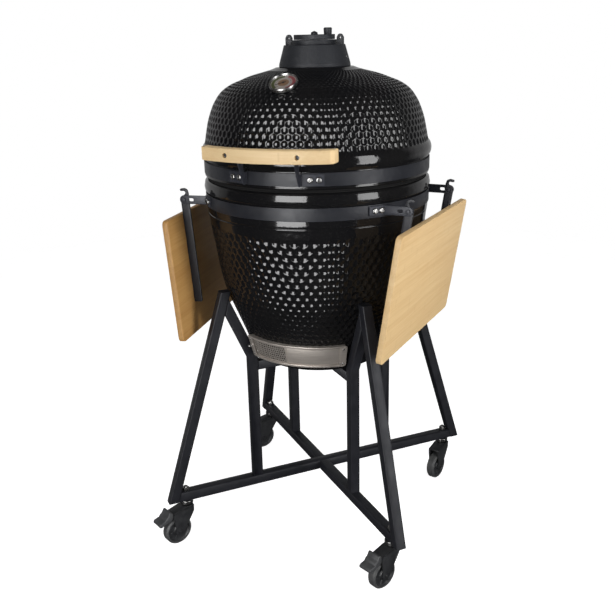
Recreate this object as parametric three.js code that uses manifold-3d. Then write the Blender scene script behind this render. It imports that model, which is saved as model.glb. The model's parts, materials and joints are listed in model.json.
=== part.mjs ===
// Kamado grill: a ceramic bowl and lid on a cross-frame cart with casters and folding side shelves.
// Millimetres, +Z up. The origin lies on the floor under the bowl's axis, and the draft door faces -Y.
import * as THREE from "three";
import { mergeVertices } from "three/addons/utils/BufferGeometryUtils.js";
import Module from "manifold-3d";

const wasm = await Module();
wasm.setup();

// ---------- driving dimensions ----------
const GAP = 0.3; // between pieces that touch
const RUN = 0.6; // between pieces that slide or turn on each other

// cart
const TUBE = 25; // square tube, outside
const TUBE_WALL = 2;
const BAR_BOTTOM = 115; // underside of the lower cross
const FOOT_R = 442; // outer face of a leg at the lower cross, along a diagonal
const LEG_LEAN = 0.3125; // how far an outer leg leans in for each unit of height
const APEX_Z = 665; // flat-cut top of the outer legs
const POST_R = 193; // centre of an upright inner leg, along a diagonal
const BEND_Z = 478; // where an inner leg bends outwards
const BRACE_LEAN = 0.432;
const CRADLE_TOP = 469; // top of the upper cross, which carries the bowl

// casters
const STEM_R = 393; // along a diagonal
const WHEEL_RADIUS = 38;
const WHEEL_WIDTH = 24;
const TRAIL = 34; // axle behind the stem
const FORK_PLATE = 3;
const FORK_CROWN = 7;
const FORK_COVER = { back: -50, height: 93, thickness: 3 }; // the plate that slopes back over the wheel
const STEM = 5; // radius
const AXLE = 4; // radius
const CUP = 13; // height of the bearing cup under a bar
const STEM_NUT = { across: 9.5, height: 9 };
const PEDAL_WIDTH = 36;
const PEDAL_OUTLINE = [
  [-52, 84], [-52, 97], [-57, 103], [-61, 102], [-66, 93], [-72, 89], [-75, 84], [-88, 81],
  [-92, 78], [-92, 72], [-87, 70], [-75, 74], [-64, 76], [-56, 80],
];

// ceramic body: [radius, height] up the outside, and down the inside
const BOWL_OUTLINE = [
  [158, 469.3], [162, 473], [173, 490], [186, 516], [199, 550], [213, 585], [227, 620],
  [238.5, 650], [246, 680], [252.5, 712], [257.5, 745], [262, 778], [267, 806], [269.5, 824],
  [272.5, 846], [275, 868],
];
const BOWL_LIP = [[278, 908], [279.5, 917], [277, 930], [272, 934]];
const BOWL_RIM_Z = 934;
const BOWL_FLOOR_Z = 494;
const BOWL_INSIDE = [[232, 700], [216, 640], [190, 570], [160, 515], [128, BOWL_FLOOR_Z]];
const LID_BOTTOM_Z = 942;
const LID_LIP = [[272, LID_BOTTOM_Z], [276.5, 945], [275, 948]];
const LID_OUTLINE = [
  [276, 984], [280, 992], [281, 1003], [278, 1013], [273, 1020], [269, 1040], [263, 1068],
  [255.5, 1091], [245, 1114], [228, 1137], [206, 1152.5], [182, 1162.5], [154, 1173], [112, 1184],
  [94, 1190.5],
];
const NECK_Z = 1166; // lower edge of the vent's opening through the lid
const LID_INSIDE = [
  [94, NECK_Z], [150, 1150], [200, 1130], [226, 1108], [240, 1070], [248, 1030], [251, 990],
];
const BODY_RADIUS = 275; // outside of the ceramic under a band
const CERAMIC = 24; // wall of bowl and lid
const ROUND_STEPS = 36;
const BAND = 2; // steel of the two bands
const BASE_BAND_Z = [872, 902];
const LID_BAND_Z = [950, 980];
const BAND_OUT = BODY_RADIUS + GAP + BAND;
const GASKET_OUT = 270;
const GASKET_SET_BACK = 3; // from the inside of the wall

// lid fittings
const VENT_BASE_Z = 1191;
const VENT_TOP_Z = 1241;
const VENT_BASE_R = 86;
const VENT_TOP_R = 73;
const VENT_BORE = 55;
const VENT_STEP_R = 53.5;
const VENT_PLATE_Z = [1245, 1252];
const VENT_PORTS = 4;
const VENT_PORT_R = 10;
const VENT_PORT_AT = 31;
const VENT_DISC_R = 49;
const VENT_DISC_TOP = 1264;
const VENT_KNOB_X = 34;
const LUG_X = 65;
const LUG_HOLE_Z = 1256;
const DIAL_Y = -195;
const DIAL_Z = 1159;
const DIAL_TILT = 30; // degrees from upright, towards the front
const DIAL_R = 33;
const DIAL_FACE = 7; // height of the dial above the lid's surface
const BEZEL_TOP = 11;
const DIAL_STEM = 50;
const NEEDLE_REST = 120; // degrees from the top of the dial
const HANDLE_CURVE = 361; // radius of the handle's front face
const HANDLE_FRONT = 347;
const HANDLE_DEPTH = 29;
const HANDLE_HALF = 155;
const HANDLE_Z = [1008, 1037];
const HANDLE_CHAMFER = 6;
const SCREW_X = 83;
const SCREW_HOLE = 5.5; // radius
const WEB_X = 66; // upright web of a handle bracket
const BRACKET_PLATE = 3;
const BAND_BOLTS = [17.5, 21.5]; // degrees from the front, on the lid band

// rear hinge
const HINGE_Y = 318;
const HINGE_Z = 940;
const HINGE_PIN_R = 6;
const HINGE_PLATE = 4;
const KNUCKLE_R = 13;
const HINGE_EAR_X = 52;
const HINGE_EAR = 5; // thickness
const HINGE_ARM_X = 16;
const HINGE_ARM = 12; // width
const COIL_R = 12.5;
const COIL_TURNS = 4;

// draft door
const DRAFT_Z = [492, 550];
const DRAFT_R = 196; // frame's face at its lower edge
const DRAFT_SPAN = 39; // degrees each side of the front
const DRAFT_END = 5; // of those, the end plate
const DRAFT_RAIL = 6;
const DRAFT_SKIN = 2;
const DRAFT_LEAN = 16 / 60; // outwards for each unit of height
const DRAFT_MOUTH = { width: 130, height: 34 }; // through the bowl
const SOLID_DOOR = [-4, 33]; // degrees from the front
const MESH_DOOR = [-37, 0];
const MESH_ROWS = 3;
const MESH_COLUMNS = 6;

// inside the bowl
const FIREBOX_TOP = 700;
const FIREBOX_OUTSIDE = [[118, 494.3], [144, 513], [170, 568], [194, 640], [206, FIREBOX_TOP]];
const FIREBOX_INSIDE = [[190, FIREBOX_TOP], [178, 640], [155, 568], [131, 520], [104, 511]];
const FIRE_RING = { inner: 190, outer: 212, top: 764 };
const CHARCOAL_GRATE = { radius: 150, z: [560, 568], slot: 12, pitch: 28 };
const COOKING_GRATE = { inner: 220, outer: 227, z: 767.5, rod: 5, pitch: 38 };

// side shelves
const SHELF_LENGTH = 470;
const SHELF_DEPTH = 305;
const SHELF_THICK = 15;
const SHELF_TURN = 6; // degrees, each shelf about the body's axis, from its side towards the front
const SHELF_TILT = { left: 4.1, right: 9 }; // degrees, bottom edges inwards, hanging down
const PIVOT_X = 297.6;
const PIVOT_Y = 146.6;
const PIVOT_Z = 888.6;
const ARM_SLOT = { back: 19, length: 13, height: 8 }; // back from the pivot
const ARM_WIDTH = 21;
const ARM_PLATE = 5;
const BOARD_FACE = 10.8; // inner face, out from the pivots
const BOARD_TOP = -34.9; // upper edge, from the pivots
const BOARD_CORNER = 14;
const SUPPORT_LENGTH = 262;
const PIVOT_PIN = 5; // radius
const SHELF_FLANGE = [50.8, 60.2]; // degrees from the front end of a shelf's own axes, on the base band
const SHELF_BOLTS = [53.8, 57.2];

// ---------- materials ----------
const paint = (color, roughness, metalness = 0) =>
  new THREE.MeshStandardMaterial({ color, roughness, metalness });
const glaze = () => paint(0x08080a, 0.12);
const band = () => paint(0x26272b, 0.45, 0.8);
const blackSteel = () => paint(0x17181c, 0.55, 0.3);
const castIron = () => paint(0x1b1c1f, 0.6, 0.4);
const stainless = () => paint(0x8d8782, 0.35, 1);
const chrome = () => paint(0xc9c9cc, 0.15, 1);
const bamboo = () => paint(0xd8ab6c, 0.55);
const felt = () => paint(0x1a1a1a, 0.95);
const fireclay = () => paint(0xb9a38a, 0.9);
const rubber = () => paint(0x1d1e20, 0.8);
const dialWhite = () => paint(0xe9e4de, 0.5);

// ---------- shapes ----------
const kamado = new THREE.Group();

// A closed geometry as a solid that can be joined and cut.
function solid(geometry) {
  const g = geometry.index ? geometry.toNonIndexed() : geometry;
  g.deleteAttribute("normal");
  g.deleteAttribute("uv");
  const merged = mergeVertices(g, 1e-3);
  const triVerts = new Uint32Array(merged.index.array);
  const build = () =>
    new wasm.Manifold(
      new wasm.Mesh({ numProp: 3, vertProperties: merged.attributes.position.array, triVerts }),
    );
  let made = build();
  if (made.volume() < 0) {
    for (let i = 0; i < triVerts.length; i += 3) {
      [triVerts[i + 1], triVerts[i + 2]] = [triVerts[i + 2], triVerts[i + 1]];
    }
    made = build();
  }
  return made;
}

// A named mesh of a solid, added to the grill.
function part(name, body, material) {
  const mesh = body.getMesh();
  const positions = new Float32Array(mesh.numVert * 3);
  for (let i = 0; i < mesh.numVert; i++) {
    for (let k = 0; k < 3; k++) positions[i * 3 + k] = mesh.vertProperties[i * mesh.numProp + k];
  }
  const geometry = new THREE.BufferGeometry();
  geometry.setAttribute("position", new THREE.BufferAttribute(positions, 3));
  geometry.setIndex(new THREE.BufferAttribute(mesh.triVerts, 1));
  geometry.computeVertexNormals();
  const made = new THREE.Mesh(geometry, material);
  made.name = name;
  kamado.add(made);
  return made;
}

const rad = (degrees) => THREE.MathUtils.degToRad(degrees);
const move = (x, y, z) => new THREE.Matrix4().makeTranslation(x, y, z);
const turnX = (degrees) => new THREE.Matrix4().makeRotationX(rad(degrees));
const turnY = (degrees) => new THREE.Matrix4().makeRotationY(rad(degrees));
const turnZ = (degrees) => new THREE.Matrix4().makeRotationZ(rad(degrees));

// The solid of a geometry after the given matrices, the last one first.
function placed(geometry, ...matrices) {
  const whole = matrices.reduce((a, m) => a.multiply(m), new THREE.Matrix4());
  return solid(geometry.clone().applyMatrix4(whole));
}

const join = (...bodies) => bodies.reduce((a, b) => a.add(b));
const cut = (body, ...tools) => tools.reduce((a, b) => a.subtract(b), body);

function box(x, y, z, ...matrices) {
  return placed(new THREE.BoxGeometry(x, y, z), ...matrices);
}

// A cylinder or cone along Z, standing on z = 0.
function post(bottom, top, height, steps, ...matrices) {
  const g = new THREE.CylinderGeometry(top, bottom, height, steps);
  g.applyMatrix4(turnX(90)).applyMatrix4(move(0, 0, height / 2));
  return placed(g, ...matrices);
}

// A solid of revolution about Z from [radius, height] points.
function turned(points, steps, ...matrices) {
  const g = new THREE.LatheGeometry(
    points.map(([r, z]) => new THREE.Vector2(r, z)),
    steps,
  );
  g.applyMatrix4(turnX(90));
  return placed(g, ...matrices);
}

// A ring of rectangular section about Z.
function ring(inner, outer, [low, high], steps = ROUND_STEPS) {
  return turned([[inner, low], [outer, low], [outer, high], [inner, high], [inner, low]], steps);
}

// A flat outline of [x, y] points, extruded along Z and centred on z = 0.
function slab(points, thickness, ...matrices) {
  const shape = new THREE.Shape(points.map(([x, y]) => new THREE.Vector2(x, y)));
  const g = new THREE.ExtrudeGeometry(shape, { depth: thickness, bevelEnabled: false });
  g.applyMatrix4(move(0, 0, -thickness / 2));
  return placed(g, ...matrices);
}

// An outline of [distance along a diagonal, height] points, as thick as given across the diagonal.
function diagonalSlab(points, thickness, heading) {
  return slab(points, thickness, turnZ(heading), turnX(90));
}

// Points on an arc about a centre, with angles in degrees from -Y towards +X.
function arc(radius, from, to, steps, [x, y] = [0, 0]) {
  return Array.from({ length: steps + 1 }, (_, i) => {
    const angle = rad(from + ((to - from) * i) / steps);
    return [x + radius * Math.sin(angle), y - radius * Math.cos(angle)];
  });
}

// A stretch of curved plate: the area between two arcs about one centre, extruded along Z.
function curvedPlate(inner, outer, from, to, [low, high], steps, centre = [0, 0]) {
  const outline = [
    ...arc(outer, from, to, steps, centre),
    ...arc(inner, to, from, steps, centre),
  ];
  return slab(outline, high - low, move(0, 0, (low + high) / 2));
}

// ---------- cart ----------
const CORNERS = [
  { name: "front_left", heading: 225, trail: 240 },
  { name: "front_right", heading: 315, trail: 243 },
  { name: "rear_right", heading: 45, trail: 255 },
  { name: "rear_left", heading: 135, trail: 228 },
];
const BAR_TOP = BAR_BOTTOM + TUBE;
const LEG_ACROSS = TUBE * Math.hypot(1, LEG_LEAN); // an outer leg's width, measured level
const BRACE_ACROSS = TUBE * Math.hypot(1, BRACE_LEAN);
const legOuter = (z) => FOOT_R - LEG_LEAN * (z - BAR_BOTTOM);
const legInner = (z) => legOuter(z) - LEG_ACROSS;
const postOuter = POST_R + TUBE / 2;
const postInner = POST_R - TUBE / 2;
const braceOuter = (z) => postOuter + BRACE_LEAN * (z - BEND_Z);
const braceInner = (z) => braceOuter(z) - BRACE_ACROSS;
// the height at which a leaning face of the brace meets the outer leg
const meet = (braceAt0) =>
  (legInner(0) - GAP - braceAt0) / (BRACE_LEAN + LEG_LEAN);

function outerLeg({ name, heading }) {
  const side = TUBE_WALL * Math.hypot(1, LEG_LEAN);
  const outside = [
    [legInner(BAR_BOTTOM), BAR_BOTTOM],
    [legOuter(BAR_BOTTOM), BAR_BOTTOM],
    [legOuter(APEX_Z), APEX_Z],
    [legInner(APEX_Z), APEX_Z],
  ];
  const below = BAR_BOTTOM - 1;
  const under = APEX_Z - TUBE_WALL;
  const inside = [
    [legInner(below) + side, below],
    [legOuter(below) - side, below],
    [legOuter(under) - side, under],
    [legInner(under) + side, under],
  ];
  const leg = cut(
    diagonalSlab(outside, TUBE, heading),
    diagonalSlab(inside, TUBE - 2 * TUBE_WALL, heading),
  );
  part("outer_leg_" + name, leg, blackSteel());
}

function innerLeg({ name, heading }) {
  const foot = BAR_TOP + GAP;
  const top = meet(braceInner(0));
  const crotch = meet(braceOuter(0));
  const innerBend = BEND_Z + (postInner - braceInner(BEND_Z)) / BRACE_LEAN;
  const outside = [
    [postInner, foot],
    [postOuter, foot],
    [postOuter, BEND_Z],
    [braceOuter(crotch), crotch],
    [braceInner(top), top],
    [postInner, innerBend],
  ];
  const wall = TUBE_WALL * Math.hypot(1, BRACE_LEAN);
  const below = foot - 1;
  const hollowTop = crotch - 2 * TUBE_WALL;
  const inside = [
    [postInner + TUBE_WALL, below],
    [postOuter - TUBE_WALL, below],
    [postOuter - TUBE_WALL, BEND_Z],
    [braceOuter(hollowTop) - wall, hollowTop],
    [braceInner(hollowTop) + wall, hollowTop],
    [postInner + TUBE_WALL, innerBend],
  ];
  const leg = cut(
    diagonalSlab(outside, TUBE, heading),
    diagonalSlab(inside, TUBE - 2 * TUBE_WALL, heading),
  );
  part("inner_leg_" + name, leg, blackSteel());
}

const STEM_HOLE = STEM + 2 * GAP;

// A lower bar between two distances along a diagonal, hollow, with the caster stems' holes.
function lowerBar(name, heading, from, to, stems) {
  const lowGap = legInner(BAR_BOTTOM) - GAP;
  const highGap = legInner(BAR_TOP) - GAP;
  const outside = [
    [from ?? -lowGap, BAR_BOTTOM],
    [to ?? lowGap, BAR_BOTTOM],
    [to ?? highGap, BAR_TOP],
    [from ?? -highGap, BAR_TOP],
  ];
  const reach = FOOT_R;
  const inside = [
    [-reach, BAR_BOTTOM + TUBE_WALL],
    [reach, BAR_BOTTOM + TUBE_WALL],
    [reach, BAR_TOP - TUBE_WALL],
    [-reach, BAR_TOP - TUBE_WALL],
  ];
  const holes = stems.map((r) =>
    post(STEM_HOLE, STEM_HOLE, TUBE + 4, 10, turnZ(heading), move(r, 0, BAR_BOTTOM - 2)),
  );
  const bar = cut(
    diagonalSlab(outside, TUBE, heading),
    diagonalSlab(inside, TUBE - 2 * TUBE_WALL, heading),
    ...holes,
  );
  part(name, bar, blackSteel());
}

// The cross under the bowl: two tubes halved together, between the inner legs.
function cradleCross() {
  const reach = postInner - GAP;
  const tube = (heading) =>
    box(2 * reach, TUBE, TUBE, turnZ(heading), move(0, 0, CRADLE_TOP - TUBE / 2));
  const inside = (heading) =>
    box(
      2 * reach + 4, TUBE - 2 * TUBE_WALL, TUBE - 2 * TUBE_WALL,
      turnZ(heading), move(0, 0, CRADLE_TOP - TUBE / 2),
    );
  const cross = cut(join(tube(45), tube(135)), inside(45), inside(135));
  part("cradle_cross", cross, blackSteel());
}

// ---------- casters ----------
const CUP_TOP = BAR_BOTTOM - GAP;
const CUP_BOTTOM = CUP_TOP - CUP;
const FORK_TOP = CUP_BOTTOM - RUN;
const FORK_INSIDE = WHEEL_WIDTH + 3;
const FORK_OUTSIDE = FORK_INSIDE + 2 * FORK_PLATE;

// From a caster's own axes, with the wheel under local -X, to its corner of the cart.
function casterPlace({ heading, trail }) {
  return turnZ(heading).multiply(move(STEM_R, 0, 0)).multiply(turnZ(trail - heading - 180));
}

function casterStem({ name, heading }) {
  const { across, height } = STEM_NUT;
  const stemLength = BAR_TOP + height + 5 - CUP_TOP;
  const stem = join(
    post(STEM, STEM, stemLength, 10, move(0, 0, CUP_TOP - 1)),
    post(across, across, height, 6, move(0, 0, BAR_TOP + GAP)),
    turned([[0, CUP_BOTTOM], [13, CUP_BOTTOM], [17, CUP_BOTTOM + 4], [17, CUP_TOP], [0, CUP_TOP]], 12),
  );
  const at = turnZ(heading).multiply(move(STEM_R, 0, 0));
  part("caster_stem_" + name, stem.transform(at.elements), chrome());
}

// One side of the fork, from the crown down to the axle, in the plane of the trail.
function forkCheek(side) {
  const axleZ = WHEEL_RADIUS;
  const outline = [
    [12, FORK_TOP],
    [11, FORK_TOP - 18],
    [0, axleZ + 28],
    [-TRAIL + 12, axleZ - 4],
    [-TRAIL + 6, axleZ - 11],
    [-TRAIL - 6, axleZ - 11],
    [-TRAIL - 12, axleZ - 4],
    [-TRAIL - 11, axleZ + 10],
    [FORK_COVER.back, FORK_COVER.height - 9],
    [FORK_COVER.back, FORK_COVER.height],
    [-14, FORK_TOP],
  ];
  const y = side * (FORK_INSIDE / 2 + FORK_PLATE / 2);
  return slab(outline, FORK_PLATE, move(0, y, 0), turnX(90));
}

function casterFork(corner) {
  const { back, height, thickness } = FORK_COVER;
  const coverOutline = [
    [12, FORK_TOP], [-14, FORK_TOP], [back, height], [back, height - thickness],
    [-16, FORK_TOP - FORK_CROWN], [12, FORK_TOP - FORK_CROWN],
  ];
  const crown = join(
    slab(coverOutline, FORK_OUTSIDE, turnX(90)),
    post(16, 16, FORK_CROWN, 12, move(0, 0, FORK_TOP - FORK_CROWN)),
  );
  const axleLength = FORK_OUTSIDE + 8;
  const axle = post(
    AXLE, AXLE, axleLength, 10, move(-TRAIL, axleLength / 2, WHEEL_RADIUS), turnX(90),
  );
  const fork = join(crown, forkCheek(1), forkCheek(-1), axle);
  part("caster_fork_" + corner.name, fork.transform(casterPlace(corner).elements), blackSteel());
}

function casterWheel(corner) {
  const half = WHEEL_WIDTH / 2;
  const tread = WHEEL_RADIUS;
  const bore = AXLE + RUN + GAP;
  const profile = [
    [bore, -half], [14, -half], [16, -half + 3], [25, -half + 3], [tread - 6, -half],
    [tread, -half + 6], [tread, half - 6], [tread - 6, half], [25, half - 3],
    [16, half - 3], [14, half], [bore, half], [bore, -half],
  ];
  const wheel = turned(profile, 20, move(-TRAIL, 0, WHEEL_RADIUS), turnX(90));
  part("caster_wheel_" + corner.name, wheel.transform(casterPlace(corner).elements), rubber());
}

// The pedal turns at the back of the fork's cover, and its stepped toe plate sticks out behind.
function brakePedal(corner) {
  const pedal = slab(PEDAL_OUTLINE, PEDAL_WIDTH, turnX(90));
  part("brake_pedal_" + corner.name, pedal.transform(casterPlace(corner).elements), rubber());
}

// ---------- ceramic ----------
const INSIDE_R = BODY_RADIUS - CERAMIC;

function baseShell() {
  const outer = [...BOWL_OUTLINE, [BODY_RADIUS, BASE_BAND_Z[1] + 3], ...BOWL_LIP];
  const inner = [[INSIDE_R, BOWL_RIM_Z], [INSIDE_R, 800], ...BOWL_INSIDE, [0, BOWL_FLOOR_Z]];
  const body = turned([[0, BOWL_OUTLINE[0][1]], ...outer, ...inner], ROUND_STEPS);
  const { width, height } = DRAFT_MOUTH;
  const mouth = box(width, 160, height, move(0, -180, (DRAFT_Z[0] + DRAFT_Z[1]) / 2));
  part("base_shell", cut(body, mouth), glaze());
}

function lidShell() {
  const outer = [...LID_LIP, [BODY_RADIUS, LID_BAND_Z[1] + 2], ...LID_OUTLINE];
  const neck = [[VENT_BASE_R, VENT_BASE_Z], [VENT_BORE, VENT_BASE_Z], [VENT_BORE, NECK_Z]];
  const inner = [...LID_INSIDE, [INSIDE_R, LID_BOTTOM_Z]];
  const body = turned([...outer, ...neck, ...inner, LID_LIP[0]], ROUND_STEPS);
  const stemHole = post(7, 7, 80, 12, ...dialPlace(), move(0, 0, -60));
  part("lid_shell", cut(body, stemHole), glaze());
}

const dialPlace = () => [move(0, DIAL_Y, DIAL_Z), turnX(DIAL_TILT)];

function gaskets() {
  const middle = (BOWL_RIM_Z + LID_BOTTOM_Z) / 2;
  const inner = INSIDE_R + GASKET_SET_BACK;
  const baseZ = [BOWL_RIM_Z + GAP, middle - GAP / 2];
  const lidZ = [middle + GAP / 2, LID_BOTTOM_Z - GAP];
  part("base_gasket", ring(inner, GASKET_OUT, baseZ), felt());
  part("lid_gasket", ring(inner, GASKET_OUT, lidZ), felt());
}

function bands() {
  const inner = BODY_RADIUS + GAP;
  part("base_band", ring(inner, BAND_OUT, BASE_BAND_Z), band());
  part("lid_band", ring(inner, BAND_OUT, LID_BAND_Z), band());
}

// ---------- rear hinge ----------
// A lever in the YZ plane from a band out to the hinge pin, with a round eye.
function hingeArm(x, width, bandEdge, bore) {
  const eye = Array.from({ length: 9 }, (_, i) => {
    const angle = rad(-90 + 22.5 * i);
    return [HINGE_Y + KNUCKLE_R * Math.cos(angle), HINGE_Z + KNUCKLE_R * Math.sin(angle)];
  });
  const outline = [...eye, ...bandEdge];
  const place = [move(x, 0, 0), turnZ(90), turnX(90)];
  const lever = slab(outline, width, ...place);
  if (!bore) return lever;
  return cut(lever, pinBetween(x - width, x + width, bore));
}

function pinBetween(from, to, radius) {
  return post(radius, radius, to - from, 20, move(from, HINGE_Y, HINGE_Z), turnY(90));
}

function hinge() {
  const inner = BAND_OUT + GAP;
  const outer = inner + HINGE_PLATE;
  const back = outer - 1;
  const baseZ = [BASE_BAND_Z[0] + 2, BASE_BAND_Z[1] - 2];
  const lidZ = [LID_BAND_Z[0] + 2, LID_BAND_Z[1] - 2];
  const basePlate = curvedPlate(inner, outer, 167, 193, baseZ, 6);
  const lidPlate = curvedPlate(inner, outer, 171, 189, lidZ, 4);
  const ears = [-1, 1].map((side) => {
    const edge = [[HINGE_Y - 20, 934], [back - 4, baseZ[1]], [back - 4, baseZ[0]]];
    return hingeArm(side * HINGE_EAR_X, HINGE_EAR, edge, 0);
  });
  const pin = pinBetween(-HINGE_EAR_X - 8, HINGE_EAR_X + 8, HINGE_PIN_R);
  part("hinge_base_bracket", join(basePlate, ...ears, pin), blackSteel());
  const arms = [-1, 1].map((side) => {
    const edge = [[back - 1, lidZ[1]], [back - 1, lidZ[0]]];
    return hingeArm(side * HINGE_ARM_X, HINGE_ARM, edge, HINGE_PIN_R + RUN);
  });
  part("hinge_lid_bracket", join(lidPlate, ...arms), blackSteel());
  [-1, 1].forEach((side) => hingeSpring(side < 0 ? "left" : "right", side));
}

// The outer shape of a coil spring round the pin.
function hingeSpring(name, side) {
  const from = HINGE_ARM_X + HINGE_ARM / 2 + 1;
  const to = HINGE_EAR_X - HINGE_EAR / 2 - 1;
  const pitch = (to - from) / COIL_TURNS;
  const bore = HINGE_PIN_R + RUN;
  const profile = [[bore, from]];
  for (let i = 0; i < COIL_TURNS; i++) {
    profile.push([COIL_R - 1.5, from + i * pitch]);
    profile.push([COIL_R, from + (i + 0.5) * pitch]);
  }
  profile.push([COIL_R - 1.5, to], [bore, to], profile[0]);
  const coil = turned(profile, 14, move(0, HINGE_Y, HINGE_Z), turnY(side * 90));
  part("hinge_spring_" + name, coil, chrome());
}

// ---------- lid handle ----------
const HANDLE_CENTRE = [0, HANDLE_CURVE - HANDLE_FRONT];

// The angle in degrees at which an arc of the given radius reaches x.
const angleAt = (x, radius) => THREE.MathUtils.radToDeg(Math.asin(x / radius));

function handleBar() {
  const end = angleAt(HANDLE_HALF - HANDLE_CHAMFER, HANDLE_CURVE);
  const back = HANDLE_CURVE - HANDLE_DEPTH;
  const backEnd = angleAt(HANDLE_HALF, back);
  const frontY = HANDLE_CENTRE[1] - HANDLE_CURVE * Math.cos(rad(end));
  const outline = [
    ...arc(HANDLE_CURVE, -end, end, 14, HANDLE_CENTRE),
    [HANDLE_HALF, frontY + 10],
    ...arc(back, backEnd, -backEnd, 14, HANDLE_CENTRE),
    [-HANDLE_HALF, frontY + 10],
  ];
  const [low, high] = HANDLE_Z;
  const bar = slab(outline, high - low, move(0, 0, (low + high) / 2));
  const holes = [-1, 1].map((side) =>
    post(
      SCREW_HOLE, SCREW_HOLE, 30, 12,
      move(side * SCREW_X, -HANDLE_FRONT + 19, (low + high) / 2), turnX(90),
    ),
  );
  part("handle", cut(bar, ...holes), bamboo());
}

// A bolt head on a round face, its axis level and pointing out from the body's axis.
function boltHead(radius, angle, z, head = 7, height = 4) {
  return post(head, head * 0.8, height, 8, turnZ(angle), move(0, -radius, z), turnX(90));
}

function handleBracket(side) {
  const inner = BAND_OUT + GAP;
  const outer = inner + BRACKET_PLATE;
  const [low, high] = [LID_BAND_Z[0] + 2, LID_BAND_Z[1] - 2];
  const webAngle = angleAt(WEB_X - BRACKET_PLATE / 2, outer);
  const span = [webAngle, BAND_BOLTS[1] + 2.5].map((a) => side * a).sort((a, b) => a - b);
  const flange = curvedPlate(inner, outer, ...span, [low, high], 4);
  const bolts = BAND_BOLTS.map((a) => boltHead(outer - 0.5, side * a, (low + high) / 2));
  const back = HANDLE_CURVE - HANDLE_DEPTH - GAP;
  const behind = HANDLE_CENTRE[1] - Math.sqrt(back ** 2 - WEB_X ** 2);
  const web = slab(
    [
      [-inner + 5.5, low], [-outer - 6, low], [behind + 1, 1000], [behind + 1, HANDLE_Z[1] - 3],
      [behind + 14, HANDLE_Z[1] - 3], [-outer - 7, 1004], [-outer - 4, high], [-inner + 5.5, high],
    ],
    BRACKET_PLATE,
    move(side * WEB_X, 0, 0), turnZ(90), turnX(90),
  );
  const tabSpan = [WEB_X - BRACKET_PLATE / 2, SCREW_X + 12]
    .map((x) => side * angleAt(x, back))
    .sort((a, b) => a - b);
  const tabZ = [HANDLE_Z[0] + 2, HANDLE_Z[1] - 3];
  const tab = curvedPlate(back - BRACKET_PLATE, back, ...tabSpan, tabZ, 3, HANDLE_CENTRE);
  const body = join(flange, web, tab, ...bolts);
  part("handle_bracket_" + (side < 0 ? "left" : "right"), body, blackSteel());
}

// ---------- top vent ----------
function ventPorts(firstAngle, low, high) {
  return Array.from({ length: VENT_PORTS }, (_, i) =>
    post(
      VENT_PORT_R, VENT_PORT_R, high - low, 10,
      turnZ(firstAngle + (i * 360) / VENT_PORTS), move(VENT_PORT_AT, 0, low),
    ),
  );
}

function ventCollar() {
  const [low, high] = VENT_PLATE_Z;
  const cone = turned(
    [
      [0, low], [48, low], [50, 1236], [VENT_BORE, 1196], [VENT_BORE, VENT_BASE_Z + GAP],
      [VENT_BASE_R, VENT_BASE_Z + GAP], [VENT_BASE_R - 1, 1199], [VENT_TOP_R, VENT_TOP_Z],
      [VENT_STEP_R, VENT_TOP_Z], [VENT_STEP_R, high], [0, high],
    ],
    24,
  );
  const lugs = [-1, 1].map((side) => {
    const outline = [
      [-8, VENT_TOP_Z - 6], [8, VENT_TOP_Z - 6], [8, LUG_HOLE_Z + 1], [4.5, LUG_HOLE_Z + 7],
      [0, LUG_HOLE_Z + 9], [-4.5, LUG_HOLE_Z + 7], [-8, LUG_HOLE_Z + 1],
    ];
    const tab = slab(outline, 9, move(side * LUG_X, 0, 0), turnX(90));
    return cut(tab, post(2.6, 2.6, 20, 6, move(side * LUG_X, 10, LUG_HOLE_Z), turnX(90)));
  });
  part("vent_collar", cut(join(cone, ...lugs), ...ventPorts(0, low - 1, high + 1)), castIron());
}

function ventCap() {
  const low = VENT_PLATE_Z[1] + RUN;
  const disc = turned(
    [
      [0, low], [VENT_DISC_R, low], [VENT_DISC_R, VENT_DISC_TOP - 1.5],
      [VENT_DISC_R - 1.5, VENT_DISC_TOP], [0, VENT_DISC_TOP],
    ],
    24,
  );
  const nub = turned([[0, VENT_DISC_TOP - 1], [9, VENT_DISC_TOP - 1], [7, 1268], [0, 1272]], 10);
  const knob = post(10, 9.5, 16, 12, move(VENT_KNOB_X, 0, VENT_DISC_TOP - 1));
  const ports = ventPorts(45, low - 1, VENT_DISC_TOP + 1);
  part("vent_cap", join(cut(disc, ...ports), nub, knob), castIron());
}

// ---------- thermometer ----------
function thermometer() {
  const body = turned(
    [
      [0, -DIAL_STEM], [4.5, 4 - DIAL_STEM], [4.5, 0.2], [DIAL_R - 2, 0.2], [DIAL_R, 3], [DIAL_R, 7],
      [DIAL_R - 3, BEZEL_TOP], [DIAL_R - 6, BEZEL_TOP], [DIAL_R - 7, DIAL_FACE], [0, DIAL_FACE],
    ],
    20,
    ...dialPlace(),
  );
  part("thermometer", body, chrome());
  const needle = join(
    post(3, 3, 1.6, 12, ...dialPlace(), move(0, 0, DIAL_FACE + GAP)),
    slab(
      [[-1.4, -6], [1.4, -6], [0.4, 20], [-0.4, 20]], 1,
      ...dialPlace(), turnZ(NEEDLE_REST), move(0, 0, DIAL_FACE + GAP + 0.8),
    ),
  );
  part("thermometer_needle", needle, dialWhite());
}

// ---------- draft door ----------
const draftFace = (z, depth) => DRAFT_R + DRAFT_LEAN * (z - DRAFT_Z[0]) - depth;

// A stretch of a leaning curved sheet between two depths behind the frame's face.
function draftSheet(near, far, [low, high], from, to) {
  const profile = [
    [draftFace(low, far), low], [draftFace(low, near), low], [draftFace(high, near), high],
    [draftFace(high, far), high], [draftFace(low, far), low],
  ];
  const sector = slab([[0, 0], ...arc(400, from, to, 8)], 200, move(0, 0, DRAFT_Z[0]));
  return turned(profile, 72).intersect(sector);
}

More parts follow.
